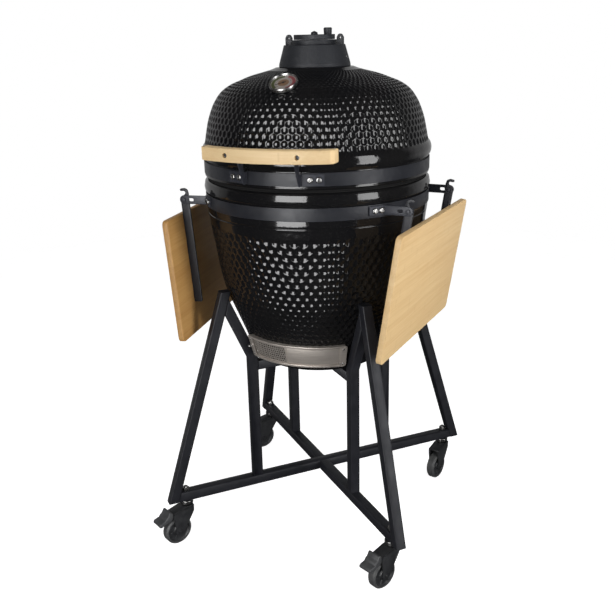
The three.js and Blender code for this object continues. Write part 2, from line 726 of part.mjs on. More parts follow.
function draftDoor() {
  const [low, high] = DRAFT_Z;
  const top = [high - DRAFT_RAIL, high];
  const bottom = [low, low + DRAFT_RAIL];
  const clearOfBowl = BOWL_OUTLINE.map(([r, z]) => [r + GAP, z]);
  const bowl = turned([[0, 460], ...clearOfBowl, [0, 868]], ROUND_STEPS);
  const rails = [top, bottom].map((z) => draftSheet(0, 24, z, -DRAFT_SPAN, DRAFT_SPAN));
  const ends = [-1, 1].map((side) => {
    const span = [side * (DRAFT_SPAN - DRAFT_END), side * DRAFT_SPAN].sort((a, b) => a - b);
    return draftSheet(0, DRAFT_SKIN, DRAFT_Z, ...span);
  });
  const rivets = [-1, 1].flatMap((side) =>
    [low + 9, high - 9].map((z) =>
      boltHead(draftFace(z, 0.5), side * (DRAFT_SPAN - DRAFT_END / 2), z, 2.6, 2),
    ),
  );
  const middle = (low + high) / 2;
  const lockKnob = boltHead(draftFace(middle, 0.5), -DRAFT_SPAN + 1.2, middle, 6, 9);
  part("draft_frame", cut(join(...rails, ...ends, ...rivets, lockKnob), bowl), stainless());
  const between = [bottom[1] + RUN / 2, top[0] - RUN / 2];
  const solidDoor = join(
    draftSheet(DRAFT_SKIN + 0.6, DRAFT_SKIN + 2, between, SOLID_DOOR[0], SOLID_DOOR[1]),
    draftSheet(0.4, DRAFT_SKIN + 1, between, SOLID_DOOR[0], SOLID_DOOR[0] + 0.8),
  );
  part("draft_solid_door", solidDoor, stainless());
  const holes = [];
  for (let row = 0; row < MESH_ROWS; row++) {
    for (let i = 0; i < MESH_COLUMNS; i++) {
      const angle = MESH_DOOR[0] + 4 + (i + (row % 2) / 2) * 5;
      const z = between[0] + 9 + row * 13;
      holes.push(post(5, 5, 30, 6, turnZ(angle), move(0, -draftFace(z, -8), z), turnX(-90)));
    }
  }
  const mesh = draftSheet(DRAFT_SKIN + 2.6, DRAFT_SKIN + 4, between, MESH_DOOR[0], MESH_DOOR[1]);
  part("draft_mesh_door", cut(mesh, ...holes), stainless());
}

// ---------- inside the bowl ----------
function firebox() {
  const bottom = FIREBOX_OUTSIDE[0][1];
  const floor = FIREBOX_INSIDE.at(-1)[1];
  const cup = turned([[0, bottom], ...FIREBOX_OUTSIDE, ...FIREBOX_INSIDE, [0, floor]], 28);
  const { width, height } = DRAFT_MOUTH;
  const ashMouth = box(width - 10, 120, height, move(0, -130, floor + 4 + height / 2));
  part("firebox", cut(cup, ashMouth), fireclay());
  const { inner, outer, top } = FIRE_RING;
  part("fire_ring", ring(inner, outer, [FIREBOX_TOP + GAP, top], 32), fireclay());
}

function charcoalGrate() {
  const { radius, z: [low, high], slot, pitch } = CHARCOAL_GRATE;
  const plate = turned([[0, low], [radius, low], [radius, high], [0, high]], 32);
  const slots = [];
  for (let i = -4; i <= 4; i++) {
    const reach = Math.sqrt(radius ** 2 - (i * pitch) ** 2) - 18;
    slots.push(box(2 * reach, slot, 20, move(0, i * pitch, (low + high) / 2)));
  }
  part("charcoal_grate", cut(plate, ...slots), castIron());
}

function cookingGrate() {
  const { inner, outer, z, rod, pitch } = COOKING_GRATE;
  const rim = ring(inner, outer, [z - 3, z + 3], 32);
  const rods = [];
  for (let i = -5; i <= 5; i++) {
    const x = i * pitch;
    const reach = Math.sqrt((inner + 3) ** 2 - x ** 2);
    rods.push(box(rod, 2 * reach, rod, move(x, 0, z)));
  }
  const tie = box(2 * inner, 7, 4, move(0, 0, z - 1));
  part("cooking_grate", join(rim, tie, ...rods), stainless());
}

// ---------- side shelves ----------
const SUPPORT_Y = PIVOT_Y - ARM_PLATE - RUN;
const PIVOT_BORE = PIVOT_PIN + RUN + GAP;

const shelfTurn = (side) => turnZ(-side * SHELF_TURN);
const shelfPlace = (side) => [
  shelfTurn(side),
  move(side * PIVOT_X, 0, PIVOT_Z),
  turnY(side * (side < 0 ? SHELF_TILT.left : SHELF_TILT.right)),
];

// A rectangle with round corners, as an outline about its centre.
function roundRectangle(width, height, radius, steps = 3) {
  const corners = [[1, 1, 0], [-1, 1, 90], [-1, -1, 180], [1, -1, 270]];
  return corners.flatMap(([sx, sy, from]) =>
    Array.from({ length: steps + 1 }, (_, i) => {
      const angle = rad(from + (90 * i) / steps);
      return [
        sx * (width / 2 - radius) + radius * Math.cos(angle),
        sy * (height / 2 - radius) + radius * Math.sin(angle),
      ];
    }),
  );
}

function shelfBoard(name, side) {
  const outline = roundRectangle(SHELF_LENGTH, SHELF_DEPTH, BOARD_CORNER);
  const centre = [side * (BOARD_FACE + SHELF_THICK / 2), 0, BOARD_TOP - SHELF_DEPTH / 2];
  const stand = [turnZ(90), turnX(90)];
  const board = slab(outline, SHELF_THICK, ...shelfPlace(side), move(...centre), ...stand);
  part("shelf_board_" + name, board, bamboo());
}

// A flat arm with an eye at the pivot and a hook tip above it, drawn with its outer side at +x.
function shelfSupport(name, side, end) {
  const half = ARM_WIDTH / 2;
  const outline = [
    [-half, -SUPPORT_LENGTH], [half, -SUPPORT_LENGTH], [half, 2], [6, 8], [0, 11], [-3, 13], [-4, 18],
    [0, 20.5], [8, 20.5], [10, 23.5], [8, 26.5], [-2, 27], [-9, 23], [-11, 14], [-half, 0],
  ];
  const sided = outline.map(([x, z]) => [side * x, z]);
  const place = [...shelfPlace(side), move(0, end * SUPPORT_Y, 0)];
  const arm = slab(sided, ARM_PLATE, ...place, turnX(90));
  const bore = post(PIVOT_BORE, PIVOT_BORE, 20, 10, ...place, move(0, 10, 0), turnX(90));
  part("shelf_support_" + name, cut(arm, bore), blackSteel());
}

// A plate on the base band, bent into an arm that carries the pivot pin.
function shelfBracket(name, side, end) {
  const inner = BAND_OUT + GAP;
  const outer = inner + ARM_PLATE - 1;
  const half = ARM_WIDTH / 2;
  const towards = (angle) => (end < 0 ? side * angle : side * (180 - angle));
  const z = [PIVOT_Z - half, PIVOT_Z + half];
  const span = SHELF_FLANGE.map(towards).sort((a, b) => a - b);
  const flange = curvedPlate(inner, outer, ...span, z, 3);
  const bolts = SHELF_BOLTS.map((a) => boltHead(outer - 0.5, towards(a), PIVOT_Z));
  const root = Math.sqrt(inner ** 2 - (PIVOT_Y - 2) ** 2) + 3;
  const tip = Array.from({ length: 7 }, (_, i) => {
    const angle = rad(-90 + 30 * i);
    return [PIVOT_X + half * Math.cos(angle), PIVOT_Z + half * Math.sin(angle)];
  });
  const outline = [[root, z[0]], ...tip, [root, z[1]]].map(([x, h]) => [side * x, h]);
  const arm = slab(outline, ARM_PLATE - 1, move(0, end * PIVOT_Y, 0), turnX(90));
  const { back, length, height } = ARM_SLOT;
  const slot = box(length, 20, height, move(side * (PIVOT_X - back), end * PIVOT_Y, PIVOT_Z));
  const pinLength = 2 * ARM_PLATE + 8;
  const pinFrom = end * (PIVOT_Y - ARM_PLATE / 2 - RUN / 2);
  const pin = post(
    PIVOT_PIN, PIVOT_PIN, pinLength, 10,
    move(side * PIVOT_X, pinFrom + pinLength / 2, PIVOT_Z), turnX(90),
  );
  const bracket = join(flange, cut(arm, slot), pin, ...bolts);
  part("shelf_bracket_" + name, bracket.transform(shelfTurn(side).elements), blackSteel());
}

function shelf(name, side) {
  shelfBoard(name, side);
  [["front", -1], ["rear", 1]].forEach(([where, end]) => {
    shelfSupport(name + "_" + where, side, end);
    shelfBracket(name + "_" + where, side, end);
  });
}

// ---------- the whole grill ----------
CORNERS.forEach((corner) => {
  outerLeg(corner);
  innerLeg(corner);
  casterStem(corner);
  casterFork(corner);
  casterWheel(corner);
});
CORNERS.filter(({ name }) => name.startsWith("front")).forEach(brakePedal);
lowerBar("lower_bar_long", 45, undefined, undefined, [STEM_R, -STEM_R]);
lowerBar("lower_bar_front", 315, TUBE / 2 + GAP, undefined, [STEM_R]);
lowerBar("lower_bar_rear", 135, TUBE / 2 + GAP, undefined, [STEM_R]);
cradleCross();
baseShell();
lidShell();
gaskets();
bands();
hinge();
handleBar();
[-1, 1].forEach(handleBracket);
ventCollar();
ventCap();
thermometer();
draftDoor();
firebox();
charcoalGrate();
cookingGrate();
shelf("left", -1);
shelf("right", 1);

export default kamado;
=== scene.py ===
"""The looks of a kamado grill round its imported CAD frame: pieces, materials, studio and camera.

The frame is in metres with +Z up, and the draft door faces -Y. Shapes are drawn in millimetres.
"""

import json
import math
from bisect import bisect_right

import bmesh
import bpy
from mathutils import Matrix, Vector

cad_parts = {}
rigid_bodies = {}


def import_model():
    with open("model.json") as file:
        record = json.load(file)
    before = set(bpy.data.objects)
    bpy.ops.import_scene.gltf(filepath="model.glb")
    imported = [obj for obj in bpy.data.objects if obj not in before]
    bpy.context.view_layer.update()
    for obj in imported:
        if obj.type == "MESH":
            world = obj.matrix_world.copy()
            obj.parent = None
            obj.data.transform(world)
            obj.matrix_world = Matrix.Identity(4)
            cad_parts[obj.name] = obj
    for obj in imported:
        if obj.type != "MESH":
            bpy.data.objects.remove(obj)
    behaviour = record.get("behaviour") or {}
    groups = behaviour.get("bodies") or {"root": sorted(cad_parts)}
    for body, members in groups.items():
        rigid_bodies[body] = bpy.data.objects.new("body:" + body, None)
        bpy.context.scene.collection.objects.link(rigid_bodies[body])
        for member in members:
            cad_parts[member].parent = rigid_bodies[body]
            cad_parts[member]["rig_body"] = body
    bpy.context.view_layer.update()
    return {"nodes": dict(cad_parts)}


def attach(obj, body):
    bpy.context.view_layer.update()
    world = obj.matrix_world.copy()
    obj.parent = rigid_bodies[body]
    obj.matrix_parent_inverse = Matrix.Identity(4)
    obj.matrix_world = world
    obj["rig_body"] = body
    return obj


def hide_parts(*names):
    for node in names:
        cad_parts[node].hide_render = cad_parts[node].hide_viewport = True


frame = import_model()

MM = 0.001

# ---------- dimensions of the CAD model, in millimetres ----------
BOWL_CURVE = [
    (162, 473), (173, 490), (186, 516), (199, 550), (213, 585), (227, 620), (238.5, 650),
    (246, 680), (252.5, 712), (257.5, 745), (262, 778), (267, 806), (269.5, 824), (272.2, 846),
    (273.2, 851.5), (272.1, 854), (273.9, 856.5), (275, 868),
]
BOWL_RIM = [(275, 905), (278, 908), (279.5, 917), (277, 930), (272, 934), (251, 934)]
BOWL_INSIDE = [(251, 800), (232, 700), (216, 640), (190, 570), (160, 515), (128, 494), (0, 494)]
BOWL_FOOT = [(0, 469.3), (156, 469.3)]
LID_CURVE = [
    (275, 982), (276, 984), (280, 992), (281, 1003), (278, 1013), (273, 1020), (269, 1040),
    (263, 1068), (255.5, 1091), (245, 1114), (228, 1137), (206, 1152.5), (182, 1162.5),
    (154, 1173), (112, 1184), (94, 1190.5),
]
LID_NECK = [(86, 1191), (55, 1191), (55, 1166)]
LID_INSIDE = [
    (94, 1166), (150, 1150), (200, 1130), (226, 1108), (240, 1070), (248, 1030), (251, 990),
    (251, 942),
]
LID_LIP = [(272, 942), (276.5, 945), (275, 948)]
LID_DIMPLES = (1026, 1184)  # heights of the first row's centres and of the last row
BOWL_DIMPLES = (506, 822)
LID_COLUMNS = 96
BOWL_COLUMNS = 80
BAND_INNER, BAND_OUTER = 275.3, 277.3
BASE_BAND = (872, 902)
LID_BAND = (950, 980)
PLATE_INNER = 277.6  # brackets lie on the bands

HANDLE_CURVE, HANDLE_FRONT, HANDLE_DEPTH, HANDLE_HALF = 361, 347, 29, 155
HANDLE_LOW, HANDLE_HIGH = 1008, 1037
HANDLE_CENTRE_Y = HANDLE_CURVE - HANDLE_FRONT
SCREW_X = 83
WEB_X = 66
BAND_BOLTS = (17.5, 21.5)

HINGE_Y, HINGE_Z = 318, 940
DIAL_Y, DIAL_Z, DIAL_TILT = -195, 1159, 30

DRAFT_LOW, DRAFT_HIGH = 492, 550
DRAFT_MIDDLE = (DRAFT_LOW + DRAFT_HIGH) / 2
DRAFT_R = 196
DRAFT_LEAN = 16 / 60
DRAFT_SPAN, DRAFT_END, DRAFT_RAIL = 39, 5, 6
DRAFT_BEND = 204  # radius at which a flat draft sheet keeps its length
DOOR_LOW, DOOR_HIGH = 498.3, 543.7
SOLID_DOOR, MESH_DOOR = (-4, 34.8), (-37, 0)  # degrees from the front

PIVOT_X, PIVOT_Y, PIVOT_Z = 297.6, 146.6, 888.6
SHELF_TILT = {-1: 4.1, 1: 9}  # of the left shelf and of the right one
SHELF_TURN = 6
SHELF_LENGTH, SHELF_DEPTH, SHELF_THICK = 470, 305, 15
BOARD_FACE, BOARD_TOP, BOARD_CORNER = 10.8, -34.9, 14
ARM_WIDTH, ARM_PLATE = 21, 5
SUPPORT_Y = PIVOT_Y - ARM_PLATE - 0.6
SUPPORT_LENGTH = 262
SHELF_FLANGE = (50.8, 60.2)
SHELF_BOLTS = (53.8, 57.2)
ARM_SLOT = (19, 13, 8)  # back from the pivot, length, height

STEM_R, TRAIL, WHEEL_RADIUS, WHEEL_WIDTH = 393, 34, 38, 24
FORK_TOP, FORK_INSIDE, FORK_OUTSIDE, FORK_CROWN = 101.1, 27, 33, 7
COVER_BACK, COVER_HEIGHT, COVER_THICK = -50, 93, 3  # the plate that slopes back over a wheel
PEDAL_WIDTH = 36
BAR_TOP = 140
CORNERS = {  # heading of the leg, heading in which the wheel trails
    "front_left": (225, 240),
    "front_right": (315, 243),
    "rear_right": (45, 255),
    "rear_left": (135, 228),
}


# ---------- materials ----------
class Nodes:
    """Adds nodes to a tree. An input is a constant or another node's output."""

    def __init__(self, tree):
        self.tree = tree

    def feed(self, socket, value):
        if isinstance(value, bpy.types.NodeSocket):
            self.tree.links.new(value, socket)
        elif socket.type == "RGBA" and len(value) == 3:
            socket.default_value = (*value, 1)
        else:
            socket.default_value = value

    def add(self, kind, inputs, output=0, **settings):
        node = self.tree.nodes.new("ShaderNode" + kind)
        for name, value in settings.items():
            setattr(node, name, value)
        for key, value in inputs.items():
            self.feed(node.inputs[key], value)
        return node.outputs[output]

    def surface(self, kind, shader):
        self.feed(self.tree.nodes.new("ShaderNode" + kind).inputs["Surface"], shader)

    def span(self, value, low, high, start=0.3, end=0.7):
        """The value's range start to end, mapped to low to high."""
        inputs = {"Value": value, "From Min": start, "From Max": end, "To Min": low, "To Max": high}
        return self.add("MapRange", inputs, "Result")

    def math(self, operation, a, b=0.0):
        return self.add("Math", {0: a, 1: b}, "Value", operation=operation)


class Look(Nodes):
    """A material whose Principled shader's inputs are constants or nodes."""

    def __init__(self, name, slot=None, **values):
        self.material = bpy.data.materials.new(name)
        self.material.use_nodes = True
        super().__init__(self.material.node_tree)
        self.shader = self.tree.nodes["Principled BSDF"]
        self.name, self.slot = name, slot or name
        self.twist = 0  # degrees about Z that the piece's own axes are turned
        self.set(**values)

    def set(self, **values):
        for socket, value in values.items():
            self.feed(self.shader.inputs[socket.replace("_", " ")], value)
        return self

    def place(self, stretch=(1, 1, 1)):
        """Where a point is on its piece, in metres times the stretch."""
        at = self.add("TexCoord", {}, "Object")
        if self.twist:
            undo = {"Vector": at, "Angle": -math.radians(self.twist)}
            at = self.add("VectorRotate", undo, "Vector", rotation_type="Z_AXIS")
        return self.add("VectorMath", {0: at, 1: stretch}, "Vector", operation="MULTIPLY")

    def noise(self, scale, detail=3, roughness=0.55, stretch=(1, 1, 1), distortion=0):
        inputs = {
            "Vector": self.place(stretch), "Scale": scale, "Detail": detail,
            "Roughness": roughness, "Distortion": distortion,
        }
        return self.add("TexNoise", inputs, "Fac")

    def blend(self, share, a, b):
        node = self.tree.nodes.new("ShaderNodeMix")
        node.data_type = "RGBA"
        colours = [s for s in node.inputs if s.type == "RGBA"]
        self.feed(node.inputs[0], share)
        self.feed(colours[0], a)
        self.feed(colours[1], b)
        return next(s for s in node.outputs if s.type == "RGBA")

    def mottled(self, scale, detail, a, b):
        return self.blend(self.span(self.noise(scale, detail), 0, 1), a, b)

    def bump(self, height, distance, strength=1.0, over=None):
        inputs = {"Height": height, "Distance": distance, "Strength": strength}
        if over is not None:
            inputs["Normal"] = over
        return self.add("Bump", inputs, "Normal")


def glaze():
    look = Look("glaze")
    specks = look.span(look.noise(420, 1), 0.0, 1.0, 0.62, 0.72)
    body = look.mottled(9, 4, (0.0045, 0.0045, 0.0052), (0.0075, 0.0072, 0.0072))
    waves = look.bump(look.noise(26, 2), 0.0009)
    peel = look.bump(look.noise(230, 2), 0.00008, over=waves)
    return look.set(
        Base_Color=look.blend(specks, body, (0.014, 0.014, 0.014)),
        Roughness=look.span(look.noise(14, 3), 0.05, 0.13),
        Normal=peel,
        Specular_IOR_Level=0.4,
    )


def stoneware():
    look = Look("stoneware", "glaze")
    tone = look.mottled(12, 4, (0.30, 0.25, 0.19), (0.40, 0.34, 0.27))
    soot = look.span(look.noise(5, 5, 0.65), 0.0, 0.7, 0.45, 0.75)
    return look.set(
        Base_Color=look.blend(soot, tone, (0.10, 0.085, 0.07)),
        Roughness=0.9,
        Normal=look.bump(look.noise(300, 3), 0.0004),
    )


def powder_coat(name, dark, light, rough, slot=None):
    look = Look(name, slot)
    tone = look.mottled(22, 4, dark, light)
    scuffs = look.span(look.noise(60, 5, 0.7, (1, 1, 0.35)), 0.0, 0.35, 0.64, 0.8)
    grain = look.bump(look.noise(900, 2), 0.00012)
    return look.set(
        Base_Color=look.blend(scuffs, tone, tuple(2.2 * c for c in light)),
        Roughness=look.span(look.noise(45, 4), rough - 0.06, rough + 0.08),
        Normal=look.bump(look.noise(40, 2), 0.0002, over=grain),
        Specular_IOR_Level=0.22,
    )


def cast_iron():
    look = Look("cast_iron")
    grain = look.noise(520, 3, 0.65)
    tone = look.blend(look.span(grain, 0, 1), (0.0075, 0.0083, 0.0108), (0.0165, 0.018, 0.0222))
    sand = look.bump(grain, 0.0005)
    return look.set(
        Base_Color=tone,
        Roughness=look.span(look.noise(60, 3), 0.45, 0.62),
        Normal=look.bump(look.noise(80, 3), 0.0006, over=sand),
        Specular_IOR_Level=0.3,
    )


def brushed(name, dark, light, rough, stretch, metal=1.0):
    """Bare metal with fine scratches that run where the stretch is small."""
    look = Look(name, Metallic=metal)
    lines = look.noise(1, 4, 0.75, stretch)
    stains = look.span(look.noise(30, 4, 0.6), 0, 1)
    tone = look.blend(look.span(lines, 0, 1), dark, light)
    return look.set(
        Base_Color=look.blend(look.math("MULTIPLY", stains, 0.35), tone, dark),
        Roughness=look.span(lines, rough - 0.07, rough + 0.09),
        Normal=look.bump(lines, 0.00005),
    )


def bamboo(name, along, across, tones, twist=0):
    """Laminated strips: along and across are the axes of the board, 0 to 2."""
    look = Look(name, "bamboo", Specular_IOR_Level=0.2)
    look.twist = twist
    strip_width, knuckle_spacing = 0.0195, 0.23

    def stretched(rest, length):
        scales = [rest] * 3
        scales[along] = length
        return tuple(scales)

    lengthwise = look.add("SeparateXYZ", {0: look.place()}, along)
    side = look.add("SeparateXYZ", {0: look.place()}, across)
    strip = look.math("FLOOR", look.math("DIVIDE", side, strip_width))
    chance = look.add("TexWhiteNoise", {"W": strip}, "Value", noise_dimensions="1D")
    shifted = look.math("ADD", lengthwise, look.math("MULTIPLY", chance, 0.8))
    fibres = look.noise(1, 6, 0.7, stretched(260.0, 7.0))
    streaks = look.noise(1, 4, 0.6, stretched(60.0, 2.2), 0.4)
    light, mid, deep = tones
    base = look.blend(look.math("MULTIPLY", chance, 0.45), light, mid)
    base = look.blend(look.span(streaks, 0, 0.4, 0.4, 0.75), base, deep)
    base = look.blend(look.span(fibres, 0, 0.38, 0.45, 0.8), base, deep)
    # the cane's darker knuckles, at different places along each strip
    knuckle = look.math("PINGPONG", shifted, knuckle_spacing / 2)
    ring = look.span(knuckle, 1.0, 0.0, 0.0, 0.0035)
    base = look.blend(look.math("MULTIPLY", ring, 0.16), base, (0.42, 0.215, 0.075))
    at_edge = look.math("PINGPONG", look.math("DIVIDE", side, strip_width), 0.5)
    seam = look.span(at_edge, 1.0, 0.0, 0.0, 0.035)
    base = look.blend(look.math("MULTIPLY", seam, 0.12), base, (0.40, 0.22, 0.08))
    blotches = look.span(look.noise(9, 3), 0.0, 0.16, 0.5, 0.8)
    base = look.blend(blotches, base, (0.62, 0.33, 0.11))
    grain = look.bump(fibres, 0.00012)
    return look.set(
        Base_Color=base,
        Roughness=look.span(fibres, 0.42, 0.56),
        Normal=look.bump(look.math("MULTIPLY", seam, -1.0), 0.0001, over=grain),
    )


def felt():
    look = Look("felt", Specular_IOR_Level=0.1)
    fluff = look.noise(1400, 3, 0.7)
    waves = {"Vector": look.place(), "Scale": 130.0, "Distortion": 6.0}
    weave = look.add("TexWave", waves, "Fac")
    tone = look.blend(look.span(fluff, 0, 1), (0.004, 0.004, 0.0045), (0.016, 0.0157, 0.0153))
    return look.set(
        Base_Color=tone,
        Roughness=0.95,
        Normal=look.bump(weave, 0.0004, 0.6, over=look.bump(fluff, 0.0006)),
    )


def fireclay():
    look = Look("fireclay")
    tone = look.mottled(16, 5, (0.40, 0.29, 0.19), (0.55, 0.43, 0.31))
    grit = look.span(look.noise(600, 2), 0, 0.5, 0.6, 0.7)
    soot = look.span(look.noise(4, 5, 0.65), 0.0, 0.6, 0.45, 0.75)
    tone = look.blend(grit, tone, (0.22, 0.14, 0.09))
    return look.set(
        Base_Color=look.blend(soot, tone, (0.09, 0.075, 0.06)),
        Roughness=0.93,
        Normal=look.bump(look.noise(420, 3, 0.7), 0.0008),
    )


def moulded(name, dark, light, rough, slot=None):
    look = Look(name, slot)
    dust = look.span(look.noise(38, 5, 0.7), 0, 0.8, 0.42, 0.72)
    return look.set(
        Base_Color=look.blend(dust, dark, light),
        Roughness=look.span(look.noise(70, 3), rough - 0.07, rough + 0.08),
        Normal=look.bump(look.noise(1300, 2, 0.6), 0.00015),
    )


def enamel(name, colour, slot="dial"):
    look = Look(name, slot)
    shade = tuple(0.86 * c for c in colour)
    return look.set(
        Base_Color=look.mottled(300, 3, colour, shade),
        Roughness=look.span(look.noise(120, 2), 0.32, 0.44),
        Normal=look.bump(look.noise(800, 2), 0.00003),
    )


PALE_BAMBOO = (0.80, 0.575, 0.30), (0.74, 0.50, 0.24), (0.60, 0.365, 0.15)
DEEP_BAMBOO = (0.51, 0.29, 0.10), (0.45, 0.245, 0.08), (0.31, 0.14, 0.035)
HANDLE_BAMBOO = (0.88, 0.66, 0.37), (0.83, 0.59, 0.31), (0.70, 0.45, 0.20)
LOOKS = {look.name: look for look in (
    glaze(),
    stoneware(),
    powder_coat("band_steel", (0.0102, 0.0108, 0.0142), (0.0148, 0.0159, 0.0198), 0.38),
    powder_coat("cart_steel", (0.0085, 0.0088, 0.0115), (0.0135, 0.014, 0.0175), 0.44),
    powder_coat("bracket_steel", (0.017, 0.018, 0.024), (0.027, 0.029, 0.037), 0.42, "cart_steel"),
    cast_iron(),
    brushed("stainless", (0.34, 0.305, 0.275), (0.53, 0.485, 0.44), 0.36, (12, 12, 900), 0.6),
    brushed("chrome", (0.20, 0.197, 0.193), (0.33, 0.326, 0.32), 0.27, (500, 500, 500)),
    brushed("spring_steel", (0.17, 0.17, 0.18), (0.40, 0.40, 0.42), 0.3, (700, 60, 60)),
    bamboo("bamboo_left", 1, 2, DEEP_BAMBOO, SHELF_TURN),
    bamboo("bamboo_right", 1, 2, PALE_BAMBOO, -SHELF_TURN),
    bamboo("bamboo_handle", 0, 2, HANDLE_BAMBOO),
    felt(),
    fireclay(),
    moulded("caster_plastic", (0.012, 0.0125, 0.014), (0.028, 0.029, 0.031), 0.45),
    moulded("pedal_plastic", (0.035, 0.036, 0.038), (0.065, 0.066, 0.068), 0.5, "caster_plastic"),
    moulded("caster_tread", (0.032, 0.033, 0.035), (0.085, 0.084, 0.082), 0.6),
    enamel("dial_face", (0.34, 0.305, 0.28)),
    enamel("dial_cool", (0.06, 0.07, 0.025)),
    enamel("dial_hot", (0.24, 0.055, 0.06)),
    enamel("dial_middle", (0.20, 0.115, 0.065)),
    enamel("needle_paint", (0.02, 0.02, 0.022), "needle"),
)}


# ---------- shapes, in millimetres ----------
def move(x=0, y=0, z=0):
    return Matrix.Translation((x, y, z))


def turn(axis, degrees):
    return Matrix.Rotation(math.radians(degrees), 4, axis)


def polar(radius, degrees, z):
    """A point at an angle from the front towards +X."""
    angle = math.radians(degrees)
    return (radius * math.sin(angle), -radius * math.cos(angle), z)


def steps_between(start, end, count):
    return [start + (end - start) * i / count for i in range(count + 1)]


def arc(radius, start, end, count, centre=(0, 0)):
    """Points in a plane, at angles from its -Y towards its +X."""
    made = []
    for degrees in steps_between(start, end, count):
        x, y, _ = polar(radius, degrees, 0)
        made.append((centre[0] + x, centre[1] + y))
    return made


def circle(radius, count, centre=(0, 0)):
    return arc(radius, 90, 450, count, centre)[:-1]


def round_end(radius, centre):
    """Half a circle, on the side where the first coordinate is larger."""
    return arc(radius, 0, 180, 16, centre)


def block(inner, outer, low, high):
    """A rectangular section, from one radius to another and one height to another."""
    return [(inner, low), (outer, low), (outer, high), (inner, high)]


def smooth(points, count=6):
    """A Catmull-Rom curve through the points."""
    ends = [points[0], *points, points[-1]]
    made = []
    for a, b, c, d in zip(ends, ends[1:], ends[2:], ends[3:]):
        for i in range(count):
            t = i / count
            made.append(tuple(
                0.5 * (2 * q + (r - p) * t + (2 * p - 5 * q + 4 * r - s) * t * t
                       + (3 * q - p - 3 * r + s) * t ** 3)
                for p, q, r, s in zip(a, b, c, d)
            ))
    return made + [points[-1]]


def rounded(points, radius, closed=True, steps=4):
    """The outline with its corners rounded as far as its sides allow."""
    points = [Vector(p) for p in points]
    count = len(points)
    made = []
    for i, corner in enumerate(points):
        if not closed and i in (0, count - 1):
            made.append(tuple(corner))
            continue
        before, after = points[i - 1] - corner, points[(i + 1) % count] - corner
        half = before.angle(after) / 2
        reach = min(radius / max(math.tan(half), 0.01), 0.49 * before.length, 0.49 * after.length)
        start, end = corner + before.normalized() * reach, corner + after.normalized() * reach
        for k in range(steps + 1):
            t = k / steps
            made.append(tuple(start * (1 - t) ** 2 + corner * 2 * t * (1 - t) + end * t * t))
    return made


def shape_of(points, faces, inside=()):
    """A closed shape. The faces whose numbers are in inside take the piece's second material."""
    mesh = bpy.data.meshes.new("shape")
    mesh.from_pydata(points, [], faces)
    for i in inside:
        mesh.polygons[i].material_index = 1
    made = bmesh.new()
    made.from_mesh(mesh)
    bpy.data.meshes.remove(mesh)
    bmesh.ops.recalc_face_normals(made, faces=made.faces)
    return made


def between(a, b):
    """Faces between two rings of vertices. One may be a point or have half as many as the other."""
    if len(a) == 1 and len(b) == 1:
        return []
    if len(a) == 1:
        return [(a[0], b[i - 1], b[i]) for i in range(len(b))]
    if len(b) == 1:
        return between(b, a)
    count = len(b)
    if len(a) == count:
        return [(a[i - 1], a[i], b[i], b[i - 1]) for i in range(count)]
    if 2 * len(a) == count:
        return between(b, a)
    faces = []
    for i in range(count):
        following = (i + 1) % count
        faces.append((a[2 * i], a[2 * i + 1], b[i]))
        faces.append((a[2 * i + 1], b[following], b[i]))
        faces.append((a[2 * i + 1], a[(2 * i + 2) % len(a)], b[following]))
    return faces


def turned(profile, place=Matrix(), steps=64):
    """A solid of revolution about Z. A profile that doesn't start on the axis closes on itself."""
    points, rings = [], []
    for radius, z in profile:
        count = 1 if radius < 1e-6 else steps
        rings.append(range(len(points), len(points) + count))
        points += [polar(radius, 360 * i / steps, z) for i in range(count)]
    pairs = list(zip(rings, rings[1:]))
    if profile[0][0] > 0:
        pairs.append((rings[-1], rings[0]))
    made = shape_of(points, [face for a, b in pairs for face in between(a, b)])
    made.transform(place)
    return made


def spun(profile, radius, place=Matrix(), steps=64):
    """A solid of revolution from an open profile whose corners are rounded."""
    return turned(rounded(profile, radius, closed=False), place, steps)


def sector(profile, start, end, place=Matrix(), steps=None):
    """A closed profile of (radius, height) swept about Z between two angles."""
    steps = steps or max(2, round(abs(end - start) / 1.5))
    angles = steps_between(start, end, steps)
    size = len(profile)
    points = [polar(r, angle, z) for angle in angles for r, z in profile]
    faces = [tuple(range(size)), tuple(range(steps * size, (steps + 1) * size))]
    for i in range(steps):
        low, high = i * size, (i + 1) * size
        faces += [(low + k - 1, low + k, high + k, high + k - 1) for k in range(1, size)]
        faces.append((low + size - 1, low, high, high + size - 1))
    made = shape_of(points, faces)
    made.transform(place)
    return made


def soften(shape, width, segments=2, shortest=0.0, sharper=30):
    """Rounds the shape's convex edges."""
    shape.normal_update()
    edges = [
        e for e in shape.edges
        if len(e.link_faces) == 2 and e.is_convex
        and e.calc_face_angle() > math.radians(sharper) and e.calc_length() >= shortest
    ]
    bmesh.ops.bevel(
        shape, geom=edges, offset=width, segments=segments, profile=0.5, affect="EDGES",
        clamp_overlap=True,
    )
    return shape


def prism(outline, low, high, place=Matrix(), edge=0.5, segments=2):
    """A flat outline of (x, y) points from z = low to high, its edges rounded."""
    size = len(outline)
    points = [(x, y, z) for z in (low, high) for x, y in outline]
    faces = [tuple(range(size)), tuple(range(size, 2 * size))]
    faces += [(i, (i + 1) % size, size + (i + 1) % size, size + i) for i in range(size)]
    made = shape_of(points, faces)
    if edge:
        soften(made, edge, segments)
    made.transform(place)
    return made


def rectangle(width, height, radius=0.0, steps=6):
    corners = [(-width, -height), (width, -height), (width, height), (-width, height)]
    halves = [(x / 2, y / 2) for x, y in corners]
    return rounded(halves, radius, steps=steps) if radius else halves


